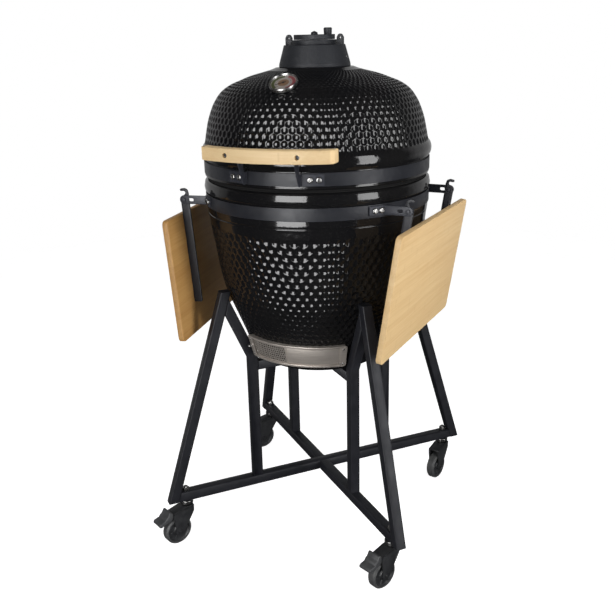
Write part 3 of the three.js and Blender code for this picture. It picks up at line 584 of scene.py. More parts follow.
def rod(path, radius, sides=12, closed=False):
    """A round bar along a path."""
    path = [Vector(p) for p in path]
    count = len(path)
    points, across = [], None
    for i, at in enumerate(path):
        before = path[i - 1] if closed or i else at
        after = path[(i + 1) % count] if closed or i < count - 1 else at
        along = (after - before).normalized()
        across = across or along.orthogonal().normalized()
        across = (across - along * across.dot(along)).normalized()
        side = along.cross(across)
        for k in range(sides):
            angle = 2 * math.pi * k / sides
            points.append(at + (across * math.cos(angle) + side * math.sin(angle)) * radius)
    rings = [range(i * sides, (i + 1) * sides) for i in range(count)]
    pairs = list(zip(rings, rings[1:])) + ([(rings[-1], rings[0])] if closed else [])
    faces = [face for a, b in pairs for face in between(a, b)]
    if not closed:
        faces += [tuple(rings[0]), tuple(rings[-1])]
    return shape_of(points, faces)


def linked(name, data):
    """A new object in the scene."""
    made = bpy.data.objects.new(name, data)
    bpy.context.scene.collection.objects.link(made)
    return made


def together(shapes):
    whole = bmesh.new()
    for shape in shapes:
        mesh = bpy.data.meshes.new("shape")
        shape.to_mesh(mesh)
        whole.from_mesh(mesh)
        bpy.data.meshes.remove(mesh)
    return whole


def without(shape, *tools):
    """The shape with the tools cut out of it."""
    objects = []
    for source in (shape, together(tools)):
        mesh = bpy.data.meshes.new("shape")
        source.to_mesh(mesh)
        objects.append(linked("shape", mesh))
    target, tool = objects
    cutting = target.modifiers.new("cut", "BOOLEAN")
    cutting.operation = "DIFFERENCE"
    cutting.solver = "EXACT"
    cutting.object = tool
    evaluated = target.evaluated_get(bpy.context.evaluated_depsgraph_get())
    made = bmesh.new()
    made.from_mesh(evaluated.to_mesh())
    evaluated.to_mesh_clear()
    for used in objects:
        mesh = used.data
        bpy.data.objects.remove(used)
        bpy.data.meshes.remove(mesh)
    return made


def refined(node, width, shortest=30, segments=3):
    """A CAD node's shape with its long outer edges rounded."""
    made = bmesh.new()
    made.from_mesh(frame["nodes"][node].data)
    made.transform(Matrix.Scale(1 / MM, 4))
    bmesh.ops.remove_doubles(made, verts=made.verts, dist=0.01)
    bmesh.ops.dissolve_limit(made, angle_limit=math.radians(1), verts=made.verts, edges=made.edges)
    return soften(made, width, segments, shortest)


def piece(name, looks, shapes, *nodes, body=None, sharp=38):
    """A finished piece that stands for the given CAD nodes, or rides on the given body."""
    looks = looks if isinstance(looks, tuple) else (looks,)
    whole = together(shapes)
    whole.transform(Matrix.Scale(MM, 4))
    mesh = bpy.data.meshes.new(name)
    whole.to_mesh(mesh)
    for look in looks:
        mesh.materials.append(LOOKS[look].material)
    mesh.shade_smooth()
    mesh.set_sharp_from_angle(angle=math.radians(sharp))
    made = linked(name, mesh)
    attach(made, body or frame["nodes"][nodes[0]]["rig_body"])
    if nodes:
        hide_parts(*nodes)
    return made


def bolt(place, radius=7.0, height=4.0):
    """A button head with a hexagon socket, its axis along local Z."""
    key = 0.4 * radius
    profile = [
        (0, height - 2), (key, height - 2), (key, height - 0.1), (key + 0.3, height),
        (0.72 * radius, 0.92 * height), (0.92 * radius, 0.66 * height), (radius, 0.3 * height),
        (radius, 0), (0, 0),
    ]
    made = turned(profile, steps=24)
    for v in made.verts:
        reach = math.hypot(v.co.x, v.co.y)
        if 0.01 < reach < key + 0.5:
            angle = math.degrees(math.atan2(v.co.y, v.co.x)) % 60 - 30
            v.co.xy *= 1 / math.cos(math.radians(angle))
    made.transform(place)
    return made


def facing(radius, degrees, z, tilt=0):
    """A place on a round body, with local Z pointing out."""
    return turn("Z", degrees) @ move(0, -radius, z) @ turn("X", 90 + tilt)


def crosswise(x):
    """Lays an outline of (y, z) points across the grill."""
    return move(x) @ turn("Z", 90) @ turn("X", 90)


# ---------- dimpled ceramic ----------
ROW_PITCH = 0.82  # of the distance between dimples in a row
DIMPLE_RADIUS = 0.48  # of the distance between dimples in a row
DIMPLE_DEPTH = 0.31  # of the radius
DIMPLE_RINGS = ((1.0, 0.0), (0.78, 0.5))  # shares of the radius and of the depth
CELL = [  # outline of a dimple's cell: columns, rows
    (0.5, 0), (0.5, 1 / 3), (0.25, 0.5), (0, 2 / 3), (-0.25, 0.5), (-0.5, 1 / 3), (-0.5, 0),
    (-0.5, -1 / 3), (-0.25, -0.5), (0, -2 / 3), (0.25, -0.5), (0.5, -1 / 3),
]
EDGE_ROW = 0.6  # a first or last row ends on a level line this far from its centres


class Levels:
    """A smooth outline measured in rows of dimples, whose pitch follows its radius."""

    def __init__(self, outline, first, last, columns):
        self.outline = smooth(outline, 16)
        self.columns = columns
        self.at = [0.0]  # row number at each point of the outline
        for (r0, z0), (r1, z1) in zip(self.outline, self.outline[1:]):
            pitch = ROW_PITCH * math.pi * (r0 + r1) / columns
            self.at.append(self.at[-1] + math.hypot(r1 - r0, z1 - z0) / pitch)
        start = self.row_at_height(first)
        self.at = [row - start for row in self.at]
        self.rows = int(self.row_at_height(last)) + 1

    def row_at_height(self, height):
        pairs = zip(zip(self.outline, self.at), zip(self.outline[1:], self.at[1:]))
        for ((_, z0), a0), ((_, z1), a1) in pairs:
            if z0 <= height <= z1:
                return a0 + (a1 - a0) * (height - z0) / (z1 - z0)
        raise ValueError("no such height on the outline")

    def point(self, column, row, depth=0.0):
        i = min(max(bisect_right(self.at, row) - 1, 0), len(self.at) - 2)
        (r0, z0), (r1, z1) = self.outline[i : i + 2]
        share = (row - self.at[i]) / (self.at[i + 1] - self.at[i])
        dr, dz = r1 - r0, z1 - z0
        length = math.hypot(dr, dz)
        radius = r0 + share * dr - depth * dz / length
        return polar(radius, 360 * column / self.columns, z0 + share * dz + depth * dr / length)

    def outside(self, below=None, above=None):
        """The outline's points below one row or above another, thinned out."""
        picked = [
            p for p, row in zip(self.outline, self.at)
            if (below is not None and row < below) or (above is not None and row > above)
        ]
        return picked[::2] if len(picked) > 40 else picked


def dimpled_shell(levels, rest, inside):
    """A closed shell: rows of dimples, then the rest of the profile back to their start.

    The numbers in inside are the points of rest after which the faces are bare inner ceramic.
    """
    columns, rows = levels.columns, levels.rows
    points, faces, corners = [], [], {}

    def corner(column, row):
        key = (round(4 * column) % (4 * columns), round(60 * row))
        if key not in corners:
            corners[key] = len(points)
            points.append(levels.point(column, row))
        return corners[key]

    low, high = -EDGE_ROW, rows - 1 + EDGE_ROW
    for row in range(rows):
        middle = Vector(levels.point(0, row))
        spacing = 2 * math.pi * math.hypot(middle.x, middle.y) / columns
        deep = DIMPLE_DEPTH * DIMPLE_RADIUS * spacing
        for i in range(columns):
            column = i + 0.5 * (row % 2)
            outer, rings = [], [[], []]
            for across, up in CELL:
                end = row + up
                if (row == 0 and up < -0.3) or (row == rows - 1 and up > 0.3):
                    end = low if row == 0 and up < 0 else high
                outer.append(corner(column + across, end))
                away = math.hypot(across, up * ROW_PITCH)
                for ring, (share, depth) in zip(rings, DIMPLE_RINGS):
                    reach = share * DIMPLE_RADIUS / away
                    ring.append(len(points))
                    points.append(levels.point(column + across * reach, row + up * reach, depth * deep))
            centre = [len(points)]
            points.append(levels.point(column, row, deep))
            for a, b in ((outer, rings[0]), (rings[0], rings[1]), (rings[1], centre)):
                faces += between(a, b)

    def edge_line(row):
        return [corner(k / 4, row) for k in range(4 * columns)]

    top = levels.outside(above=high + 0.3)
    bottom = levels.outside(below=low - 0.3)
    last_ring = edge_line(high)
    inner = []
    for number, (radius, z) in enumerate([*top, *rest, *bottom]):
        count = 1 if radius < 1e-6 else 2 * columns
        ring = range(len(points), len(points) + count)
        points += [polar(radius, 360 * k / count, z) for k in range(count)]
        added = between(last_ring, ring)
        if number - len(top) in inside:
            inner += range(len(faces), len(faces) + len(added))
        faces += added
        last_ring = ring
    faces += between(last_ring, edge_line(low))
    return shape_of(points, faces, inner)


def bowl():
    rim = rounded(BOWL_RIM, 3, closed=False)
    inner = smooth(BOWL_INSIDE[:-1], 5) + [BOWL_INSIDE[-1]]
    rest = [*rim, *inner, *BOWL_FOOT]
    levels = Levels(BOWL_CURVE, *BOWL_DIMPLES, BOWL_COLUMNS)
    inside = range(len(rim), len(rim) + len(inner))
    shell = dimpled_shell(levels, rest, inside)
    place = move(0, 0, DRAFT_MIDDLE) @ turn("X", 90)
    mouth = prism(rectangle(130, 34, 8), 100, 260, place, edge=0)
    piece("glazed_bowl", ("glaze", "stoneware"), [without(shell, mouth)], "base_shell", sharp=60)


def lid():
    neck = rounded(LID_NECK, 1.5, closed=False)
    inner = smooth(LID_INSIDE, 5)
    lip = rounded([*LID_LIP, (275, 980)], 2, closed=False)
    levels = Levels(LID_CURVE, *LID_DIMPLES, LID_COLUMNS)
    inside = range(len(neck), len(neck) + len(inner))
    shell = dimpled_shell(levels, [*neck, *inner, *lip], inside)
    piece("glazed_lid", ("glaze", "stoneware"), [shell], "lid_shell", sharp=60)


def bands_and_gaskets():
    for node, heights in (("base_band", BASE_BAND), ("lid_band", LID_BAND)):
        section = rounded(block(BAND_INNER, BAND_OUTER, *heights), 0.9)
        piece(node + "_steel", "band_steel", [turned(section, steps=144)], node)
    for node, low, high in (("base_gasket", 934.3, 937.85), ("lid_gasket", 938.15, 941.7)):
        section = rounded(block(254, 270, low, high), 1.5)
        piece(node + "_felt", "felt", [turned(section, steps=144)], node)


# ---------- lid fittings ----------
def ports(first, low, high):
    """Four round holes through the vent, the first at the given angle."""
    disc = circle(10, 24)
    return [prism(disc, low, high, turn("Z", first + 90 * i) @ move(31), edge=0) for i in range(4)]


def vent():
    cone = spun([
        (0, 1245), (48, 1245), (50, 1236), (55, 1196), (55, 1191.3), (86, 1191.3), (85, 1199),
        (73, 1241), (53.5, 1241), (53.5, 1252), (0, 1252),
    ], 1.4, steps=96)
    lug = rounded([
        (-8, 1235), (8, 1235), (8, 1257), (4.5, 1263), (0, 1265), (-4.5, 1263), (-8, 1257),
    ], 3)
    hole = circle(2.6, 16, (0, 1256))
    lugs = []
    for side in (-1, 1):
        upright = move(side * 65) @ turn("X", 90)
        lugs.append(without(prism(lug, -4.5, 4.5, upright, 0.8), prism(hole, -9, 9, upright, 0)))
    collar = without(cone, *ports(0, 1240, 1256))
    piece("vent_collar_iron", "cast_iron", [collar, *lugs], "vent_collar")
    screw = bolt(turn("Z", 90) @ move(0, -80, 1213) @ turn("X", 74), 3.2, 2.6)
    piece("vent_set_screw", "chrome", [screw], body="lid")
    disc = spun(block(0, 49, 1252.6, 1264), 1.6, steps=96)
    nub = spun([(0, 1262), (9, 1262), (7.4, 1269), (0, 1272)], 2.5, steps=32)
    knob = spun([(0, 1262), (9.2, 1262), (10, 1277), (8, 1279), (0, 1279)], 1.5, move(34), 36)
    piece("vent_cap_iron", "cast_iron", [without(disc, *ports(45, 1250, 1266)), nub, knob], "vent_cap")


def thermometer():
    place = move(0, DIAL_Y, DIAL_Z) @ turn("X", DIAL_TILT)
    face = 6.5  # height of the painted face in the case
    bezel = [
        (0, -50), (4.5, -46), (4.5, 0.2), (31, 0.2), (33, 3), (33, 8), (32, 11), (30.6, 11),
        (29.4, 6.6), (0, 6.6),
    ]
    piece("thermometer_case", "chrome", [spun(bezel, 0.7, place, 96)], "thermometer")
    piece("dial_plate", "dial_face", [turned(block(0, 29.2, 6.3, 6.8), place)], body="lid")
    for name, start in (("cool", 190), ("hot", 30)):
        band = sector(block(20.5, 27.6, face, 6.9), start, start + 140, place, 24)
        piece("dial_" + name + "_band", "dial_" + name, [band], body="lid")
    piece("dial_centre", "dial_middle", [turned(block(0, 13, face, 6.9), place, 48)], body="lid")
    marks = []
    for i, angle in enumerate(steps_between(210, 510, 50)):
        inner, half_width = (15.2, 0.9) if i % 5 == 0 else (17.0, 0.5)
        section = block(inner, 18.4, face, 6.95)
        marks.append(sector(section, angle - half_width, angle + half_width, place, 2))
    piece("dial_marks", "needle_paint", marks, body="lid")
    pointer = [(-1.4, -6), (1.4, -6), (0.35, 20), (-0.35, 20)]
    needle = prism(pointer, 7.6, 8.4, place @ turn("Z", 120), 0.15)
    hub = spun(block(0, 3, 7.2, 8.9), 0.5, place, 24)
    piece("needle_and_hub", "needle_paint", [needle, hub], "thermometer_needle")


def handle():
    """A curved bar: it bows forward and has a screw in a recess near each end."""
    centre = (0, HANDLE_CENTRE_Y)
    chamfer = 6
    back = HANDLE_CURVE - HANDLE_DEPTH
    end = math.degrees(math.asin((HANDLE_HALF - chamfer) / HANDLE_CURVE))
    back_end = math.degrees(math.asin(HANDLE_HALF / back))
    side_y = HANDLE_CENTRE_Y - HANDLE_CURVE * math.cos(math.radians(end)) + 10
    outline = [
        *arc(HANDLE_CURVE, -end, end, 40, centre), (HANDLE_HALF, side_y),
        *arc(back, back_end, -back_end, 40, centre), (-HANDLE_HALF, side_y),
    ]
    bar = prism(outline, HANDLE_LOW, HANDLE_HIGH, edge=2.2, segments=3)
    middle = (HANDLE_LOW + HANDLE_HIGH) / 2
    holes, screws = [], []
    for side in (-1, 1):
        into = move(side * SCREW_X, -HANDLE_FRONT + 19, middle) @ turn("X", 90)
        holes.append(prism(circle(5.5, 28), 0, 30, into, 0))
        screws.append(bolt(into @ move(0, 0, 0.2), 5.2, 3.2))
    piece("handle_bamboo", "bamboo_handle", [without(bar, *holes)], "handle")
    piece("handle_screws", "needle_paint", screws, body="lid")


def angle_at(x, radius):
    return math.degrees(math.asin(x / radius))


def handle_bracket(name, side):
    low, high = LID_BAND[0] + 2, LID_BAND[1] - 2
    outer = PLATE_INNER + 3
    plate = rounded(block(PLATE_INNER, outer, low, high), 0.8)
    start = angle_at(WEB_X - 1.5, outer)
    flange = sector(plate, side * start, side * (BAND_BOLTS[1] + 2.5))
    back = HANDLE_CURVE - HANDLE_DEPTH - 0.3
    behind = HANDLE_CENTRE_Y - math.sqrt(back ** 2 - WEB_X ** 2)
    web = rounded([
        (-PLATE_INNER + 5.5, low), (-outer - 6, low), (behind + 1, 1000),
        (behind + 1, HANDLE_HIGH - 3), (behind + 14, HANDLE_HIGH - 3), (-outer - 7, 1004),
        (-outer - 4, high), (-PLATE_INNER + 5.5, high),
    ], 5)
    tab = sector(
        block(back - 3, back, HANDLE_LOW + 2, HANDLE_HIGH - 3),
        side * angle_at(WEB_X - 1.5, back), side * angle_at(SCREW_X + 12, back),
        move(0, HANDLE_CENTRE_Y),
    )
    shapes = [flange, prism(web, -1.5, 1.5, crosswise(side * WEB_X), 0.6), tab]
    piece("handle_bracket_" + name + "_steel", "bracket_steel", shapes, "handle_bracket_" + name)


def hinge():
    outer = PLATE_INNER + 4
    back = outer - 1

    def plate(span, band):
        section = rounded(block(PLATE_INNER, outer, band[0] + 2, band[1] - 2), 0.8)
        return sector(section, 180 - span, 180 + span)

    def arm(x, width, edge, bore):
        place = crosswise(x)
        eye = round_end(13, (HINGE_Y, HINGE_Z))
        lever = prism([*eye, *edge], -width / 2, width / 2, place, 0.7)
        if not bore:
            return lever
        return without(lever, prism(circle(bore, 24, (HINGE_Y, HINGE_Z)), -width, width, place, 0))

    ear_edge = [(HINGE_Y - 20, 934), (back - 4, BASE_BAND[1] - 2), (back - 4, BASE_BAND[0] + 2)]
    ears = [arm(side * 52, 5, ear_edge, 0) for side in (-1, 1)]
    pin = rod([(-60, HINGE_Y, HINGE_Z), (60, HINGE_Y, HINGE_Z)], 6, 32)
    piece("hinge_base_steel", "cart_steel", [plate(13, BASE_BAND), *ears, pin], "hinge_base_bracket")
    arm_edge = [(back - 1, LID_BAND[1] - 2), (back - 1, LID_BAND[0] + 2)]
    arms = [arm(side * 16, 12, arm_edge, 6.6) for side in (-1, 1)]
    piece("hinge_lid_steel", "cart_steel", [plate(9, LID_BAND), *arms], "hinge_lid_bracket")
    wire, coil, turns, start, end = 1.75, 10.2, 6, 24.5, 47.0
    for side, name in ((-1, "left"), (1, "right")):
        path = []
        for t in steps_between(0, 1, turns * 20):
            angle = 2 * math.pi * turns * t
            x = side * (start + (end - start) * t)
            path.append((x, HINGE_Y + coil * math.cos(angle), HINGE_Z + coil * math.sin(angle)))
        piece("hinge_coil_" + name, "spring_steel", [rod(path, wire, 8)], "hinge_spring_" + name)


# ---------- draft door ----------
def draft_face(z, depth):
    return DRAFT_R + DRAFT_LEAN * (z - DRAFT_LOW) - depth


def wrapped(flat, step=5.0):
    """A flat shape, x along the sheet and y behind its face, bent round the bowl's foot."""
    width = max(abs(v.co.x) for v in flat.verts)
    for i in range(-int(width / step), int(width / step) + 1):
        bmesh.ops.bisect_plane(
            flat, geom=flat.verts[:] + flat.edges[:] + flat.faces[:],
            plane_co=(i * step + 0.01, 0, 0), plane_no=(1, 0, 0),
        )
    for v in flat.verts:
        x, depth, z = v.co
        v.co = polar(draft_face(z, depth), math.degrees(x / DRAFT_BEND), z)
    bmesh.ops.recalc_face_normals(flat, faces=flat.faces)
    return flat


def along_sheet(degrees):
    return math.radians(degrees) * DRAFT_BEND


def sheet_plate(start, end, low, high, near, far, corner=2.0, edge=0.35):
    """A thin plate in the draft door's flat layout."""
    width, height = along_sheet(end) - along_sheet(start), high - low
    at = move((along_sheet(start) + along_sheet(end)) / 2, 0, (low + high) / 2) @ turn("X", 90)
    return prism(rectangle(width, height, corner), -far, -near, at, edge)


def perforated(start, end, low, high, near, far, pitch=6.4, hole=2.35, margin=7.0):
    """A plate in the flat layout with staggered round holes, framed by plain strips."""
    left, right = along_sheet(start), along_sheet(end)
    strip = 2
    columns = int((right - left - 2 * margin) / pitch)
    rows = int((high - low - 2 * strip) / (math.sqrt(3) / 2 * pitch))
    height = (high - low - 2 * strip) / rows
    border = [(1, 0), (1, 1), (0, 1), (-1, 1), (-1, 0), (-1, -1), (0, -1), (1, -1)]
    points, numbers, faces = [], {}, []

    def vertex(x, depth, z):
        key = (round(x, 3), depth, round(z, 3))
        if key not in numbers:
            numbers[key] = len(points)
            points.append(key)
        return numbers[key]

    first = left + margin
    for row in range(rows):
        z = low + strip + (row + 0.5) * height
        for i in range(columns):
            x = first + (i + 0.5 + 0.5 * (row % 2)) * pitch
            outer = [(x + across * pitch / 2, z + up * height / 2) for across, up in border]
            inner = []
            for across, up in border:
                size = math.hypot(across, up)
                inner.append((x + hole * across / size, z + hole * up / size))
            for k in range(8):
                wall = []
                for depth in (near, far):
                    loop = (outer[k - 1], outer[k], inner[k], inner[k - 1])
                    face = [vertex(px, depth, pz) for px, pz in loop]
                    faces.append(face)
                    wall.append((face[3], face[2]))
                faces.append((*wall[0], *wall[1][::-1]))
    made = shape_of(points, faces)
    last = first + columns * pitch
    overlap = 0.01
    rim = [
        (left, first + pitch / 2, low, high), (last, right, low, high),
        (first, last + pitch / 2, low, low + strip + overlap),
        (first, last + pitch / 2, high - strip - overlap, high),
    ]
    bars = []
    for x0, x1, z0, z1 in rim:
        at = move((x0 + x1) / 2, 0, (z0 + z1) / 2) @ turn("X", 90)
        bars.append(prism(rectangle(x1 - x0, z1 - z0), -far - 0.02, -near + 0.02, at, 0))
    return together([made, *bars])


def draft_door():
    rails = []
    for low, deep in ((DRAFT_LOW, 24), (DRAFT_HIGH - DRAFT_RAIL, 15)):
        high = low + DRAFT_RAIL
        section = rounded([
            (draft_face(low, deep), low), (draft_face(low, 0), low), (draft_face(high, 0), high),
            (draft_face(high, deep), high),
        ], 1.3)
        rails.append(sector(section, -DRAFT_SPAN + 1, DRAFT_SPAN - 1))
    ends, rivets = [], []
    lean = math.degrees(math.atan(DRAFT_LEAN))
    rivet = [(0, -1), (2.8, -1), (2.8, 0.3), (2.2, 1.2), (1.2, 1.7), (0, 1.9)]
    for side in (-1, 1):
        span = sorted((side * (DRAFT_SPAN - DRAFT_END), side * DRAFT_SPAN))
        ends.append(wrapped(sheet_plate(*span, DRAFT_LOW, DRAFT_HIGH, -0.05, 2, 6.0)))
        for z in (DRAFT_LOW + 9, DRAFT_HIGH - 9):
            place = facing(draft_face(z, 0), side * (DRAFT_SPAN - DRAFT_END / 2), z, lean)
            rivets.append(turned(rivet, place, 20))
    piece("draft_frame_steel", "stainless", [*rails, *ends], "draft_frame")
    knob = turned([(0, -1), (4.2, -1), (4.2, 2), (6, 2.6), (6, 8.2), (5.2, 9), (0, 9)], steps=36)
    for i, v in enumerate(knob.verts):  # every other vertex of the rim is drawn in as a groove
        if math.hypot(v.co.x, v.co.y) > 5.5 and i % 2:
            v.co.xy *= 0.93
    knob.transform(facing(draft_face(DRAFT_MIDDLE, 0.5), -DRAFT_SPAN + 1.2, DRAFT_MIDDLE, lean))
    piece("draft_rivets", "chrome", [*rivets, knob], body="cart")
    start = SOLID_DOOR[0]
    solid = wrapped(sheet_plate(*SOLID_DOOR, DOOR_LOW, DOOR_HIGH, 2.6, 4))
    lip = wrapped(sheet_plate(start, start + 0.8, DOOR_LOW, DOOR_HIGH, 0.4, 3, 0.4, 0.3))
    piece("draft_solid_steel", "stainless", [solid, lip], "draft_solid_door")
    mesh = wrapped(perforated(*MESH_DOOR, DOOR_LOW, DOOR_HIGH, 4.6, 6))
    piece("draft_mesh_steel", "stainless", [mesh], "draft_mesh_door")


# ---------- inside the bowl ----------
def insides():
    outside = [(118, 494.3), (144, 513), (170, 568), (194, 640), (206, 700)]
    inside = [(190, 700), (178, 640), (155, 568), (131, 520), (104, 511)]
    wall = rounded(smooth(outside, 4) + smooth(inside, 4), 2, closed=False)
    cup = turned([(0, 494.3), *wall, (0, 511)], steps=96)
    ash_mouth = prism(rectangle(120, 34, 8), 70, 190, move(0, 0, 532) @ turn("X", 90), edge=0)
    piece("firebox_clay", "fireclay", [without(cup, ash_mouth)], "firebox", sharp=50)
    ring = turned(rounded(block(190, 212, 700.3, 764), 2.5), steps=96)
    piece("fire_ring_clay", "fireclay", [ring], "fire_ring")

    radius, slot_pitch = 150, 28
    plate = spun(block(0, radius, 560, 568), 1.5, steps=72)
    slots = []
    for i in range(-4, 5):
        reach = math.sqrt(radius ** 2 - (slot_pitch * i) ** 2) - 18
        slot = rectangle(2 * reach, 12, 5.9)
        slots.append(prism(slot, 550, 580, move(0, slot_pitch * i), edge=0))
    piece("charcoal_grate_iron", "cast_iron", [without(plate, *slots)], "charcoal_grate")

    z, rod_pitch = 767.5, 38
    rim = [polar(223.5, a, z) for a in steps_between(0, 360, 72)[:-1]]
    rods = [rod(rim, 3.0, 10, closed=True)]
    for i in range(-5, 6):
        x = rod_pitch * i
        reach = math.sqrt(222 ** 2 - x ** 2)
        rods.append(rod([(x, -reach, z + 0.2), (x, reach, z + 0.2)], 2.5, 10))
    rods.append(rod([(-220, 0, z - 1.2), (220, 0, z - 1.2)], 2.2, 10))
    piece("cooking_grate_rods", "stainless", rods, "cooking_grate")


# ---------- side shelves ----------
def shelf_turn(side):
    return turn("Z", -side * SHELF_TURN)


def shelf_place(side):
    return shelf_turn(side) @ move(side * PIVOT_X, 0, PIVOT_Z) @ turn("Y", side * SHELF_TILT[side])


def shelf(name, side):
    centre = (side * (BOARD_FACE + SHELF_THICK / 2), 0, BOARD_TOP - SHELF_DEPTH / 2)
    stand = shelf_place(side) @ move(*centre) @ turn("Z", 90) @ turn("X", 90)
    half = SHELF_THICK / 2
    board = prism(rectangle(SHELF_LENGTH, SHELF_DEPTH, BOARD_CORNER), -half, half, stand, 2.2, 3)
    piece("shelf_bamboo_" + name, "bamboo_" + name, [board], "shelf_board_" + name)
    for where, end in (("front", -1), ("rear", 1)):
        shelf_support(name + "_" + where, side, end)
        shelf_bracket(name + "_" + where, side, end)


def shelf_support(name, side, end):
    """An arm under a shelf, with a hook above its pivot."""
    half = ARM_WIDTH / 2
    outline = [
        (-half, -SUPPORT_LENGTH), (half, -SUPPORT_LENGTH), (half, 2), (6, 8), (0, 11), (-3, 13),
        (-4, 18), (0, 20.5), (8, 20.5), (10, 23.5), (8, 26.5), (-2, 27), (-9, 23), (-11, 14),
        (-half, 0),
    ]
    outline = rounded([(side * x, z) for x, z in outline], 4, steps=3)
    place = shelf_place(side) @ move(0, end * SUPPORT_Y) @ turn("X", 90)
    thick = ARM_PLATE / 2
    bore = prism(circle(5.9, 24), -10, 10, place, 0)
    arm = without(prism(outline, -thick, thick, place, 0.7), bore)
    piece("shelf_arm_" + name, "cart_steel", [arm], "shelf_support_" + name)


def shelf_bracket(name, side, end):
    """A flange on the band with an arm that carries a shelf's pivot pin."""
    half = ARM_WIDTH / 2
    outer = PLATE_INNER + ARM_PLATE - 1
    low, high = PIVOT_Z - half, PIVOT_Z + half

    def towards(angle):
        return side * angle if end < 0 else side * (180 - angle)

    section = rounded(block(PLATE_INNER, outer, low, high), 0.9)
    flange = sector(section, *sorted(towards(a) for a in SHELF_FLANGE))
    root = math.sqrt(PLATE_INNER ** 2 - (PIVOT_Y - 2) ** 2) + 3
    tip = round_end(half, (PIVOT_X, 0))
    outline = [(side * x, PIVOT_Z + h) for x, h in [(root, -half), *tip, (root, half)]]
    thick = (ARM_PLATE - 1) / 2
    upright = move(0, end * PIVOT_Y) @ turn("X", 90)
    back, slot_length, slot_height = ARM_SLOT
    slot = prism(
        rectangle(slot_length, slot_height, 0.49 * slot_height), -10, 10,
        upright @ move(side * (PIVOT_X - back), PIVOT_Z), edge=0,
    )
    arm = without(prism(outline, -thick, thick, upright, 0.7), slot)
    length = 2 * ARM_PLATE + 8
    middle = end * (PIVOT_Y - ARM_PLATE / 2 - 0.3)
    x = side * PIVOT_X
    pin = rod([(x, middle - length / 2, PIVOT_Z), (x, middle + length / 2, PIVOT_Z)], 5, 24)
    bracket = together([flange, arm, soften(pin, 0.9)])
    bracket.transform(shelf_turn(side))
    piece("shelf_mount_" + name, "bracket_steel", [bracket], "shelf_bracket_" + name)


def band_bolts():
    lid_outer = PLATE_INNER + 3
    middle = (LID_BAND[0] + LID_BAND[1]) / 2
    on_lid = [
        bolt(facing(lid_outer - 0.2, side * a, middle)) for side in (-1, 1) for a in BAND_BOLTS
    ]
    piece("handle_bolts", "chrome", on_lid, body="lid")
    shelf_outer = PLATE_INNER + ARM_PLATE - 1
    on_base = []
    for side in (-1, 1):
        for a in (*SHELF_BOLTS, *(180 - b for b in SHELF_BOLTS)):
            on_base.append(bolt(facing(shelf_outer - 0.2, side * (a - SHELF_TURN), PIVOT_Z)))
    piece("shelf_bolts", "chrome", on_base, body="cart")


# ---------- casters ----------
def caster_place(corner):
    """Under the stem, with the wheel trailing along -X."""
    heading, trail = CORNERS[corner]
    return turn("Z", heading) @ move(STEM_R) @ turn("Z", trail - heading - 180)


def caster_post(corner):
    """The nut and the threaded end above the bar, and the bearing cup under it."""
    fixed = turn("Z", CORNERS[corner][0]) @ move(STEM_R)
    cup_top, cup_bottom = 114.7, 101.7
    hexagon = rounded(circle(9.5, 6), 0.8, steps=2)
    nut = prism(hexagon, BAR_TOP + 0.3, BAR_TOP + 9.3, fixed, 0.9)
    threads = [(0, BAR_TOP + 1)]
    for z in steps_between(BAR_TOP + 1, BAR_TOP + 12.5, 9):
        threads += [(4.4, z), (5, z + 0.5)]
    stud = turned([*threads, (3.8, BAR_TOP + 13.7), (0, BAR_TOP + 13.7)], fixed, 24)
    shank = turned(block(0, 5, cup_top - 1, BAR_TOP + 2), fixed, 24)
    cup = spun([
        (0, cup_bottom), (13, cup_bottom), (17, cup_bottom + 4), (17, cup_top), (0, cup_top),
    ], 1.5, fixed, 48)
    piece("caster_post_" + corner, "chrome", [nut, stud, shank, cup], "caster_stem_" + corner)


def caster_fork(corner):
    """A crown, a cover that slopes back over the wheel, two cheeks and the axle."""
    crown_low = FORK_TOP - FORK_CROWN
    cover = rounded([
        (12, FORK_TOP), (-14, FORK_TOP), (COVER_BACK, COVER_HEIGHT),
        (COVER_BACK, COVER_HEIGHT - COVER_THICK), (-16, crown_low), (12, crown_low),
    ], 1.2)
    cheek = rounded([
        (12, FORK_TOP), (11, FORK_TOP - 18), (0, WHEEL_RADIUS + 28), (-TRAIL + 12, WHEEL_RADIUS - 4),
        (-TRAIL + 6, WHEEL_RADIUS - 11), (-TRAIL - 6, WHEEL_RADIUS - 11),
        (-TRAIL - 12, WHEEL_RADIUS - 4), (-TRAIL - 11, WHEEL_RADIUS + 10),
        (COVER_BACK, COVER_HEIGHT - 9), (COVER_BACK, COVER_HEIGHT), (-14, FORK_TOP),
    ], 3)
    half_width = FORK_OUTSIDE / 2
    shapes = [
        spun(block(0, 16, crown_low, FORK_TOP), 1.5, steps=48),
        prism(cover, -half_width, half_width, turn("X", 90), 0.8),
    ]
    for side in (-1, 1):
        y = side * (FORK_INSIDE + 3) / 2
        shapes.append(prism(cheek, -1.5, 1.5, move(0, y) @ turn("X", 90), 0.7))
    reach = (FORK_OUTSIDE + 8) / 2
    shapes.append(rod([(-TRAIL, -reach, WHEEL_RADIUS), (-TRAIL, reach, WHEEL_RADIUS)], 4, 20))
    fork = together(shapes)
    fork.transform(caster_place(corner))
    piece("caster_frame_" + corner, "caster_plastic", [fork], "caster_fork_" + corner)


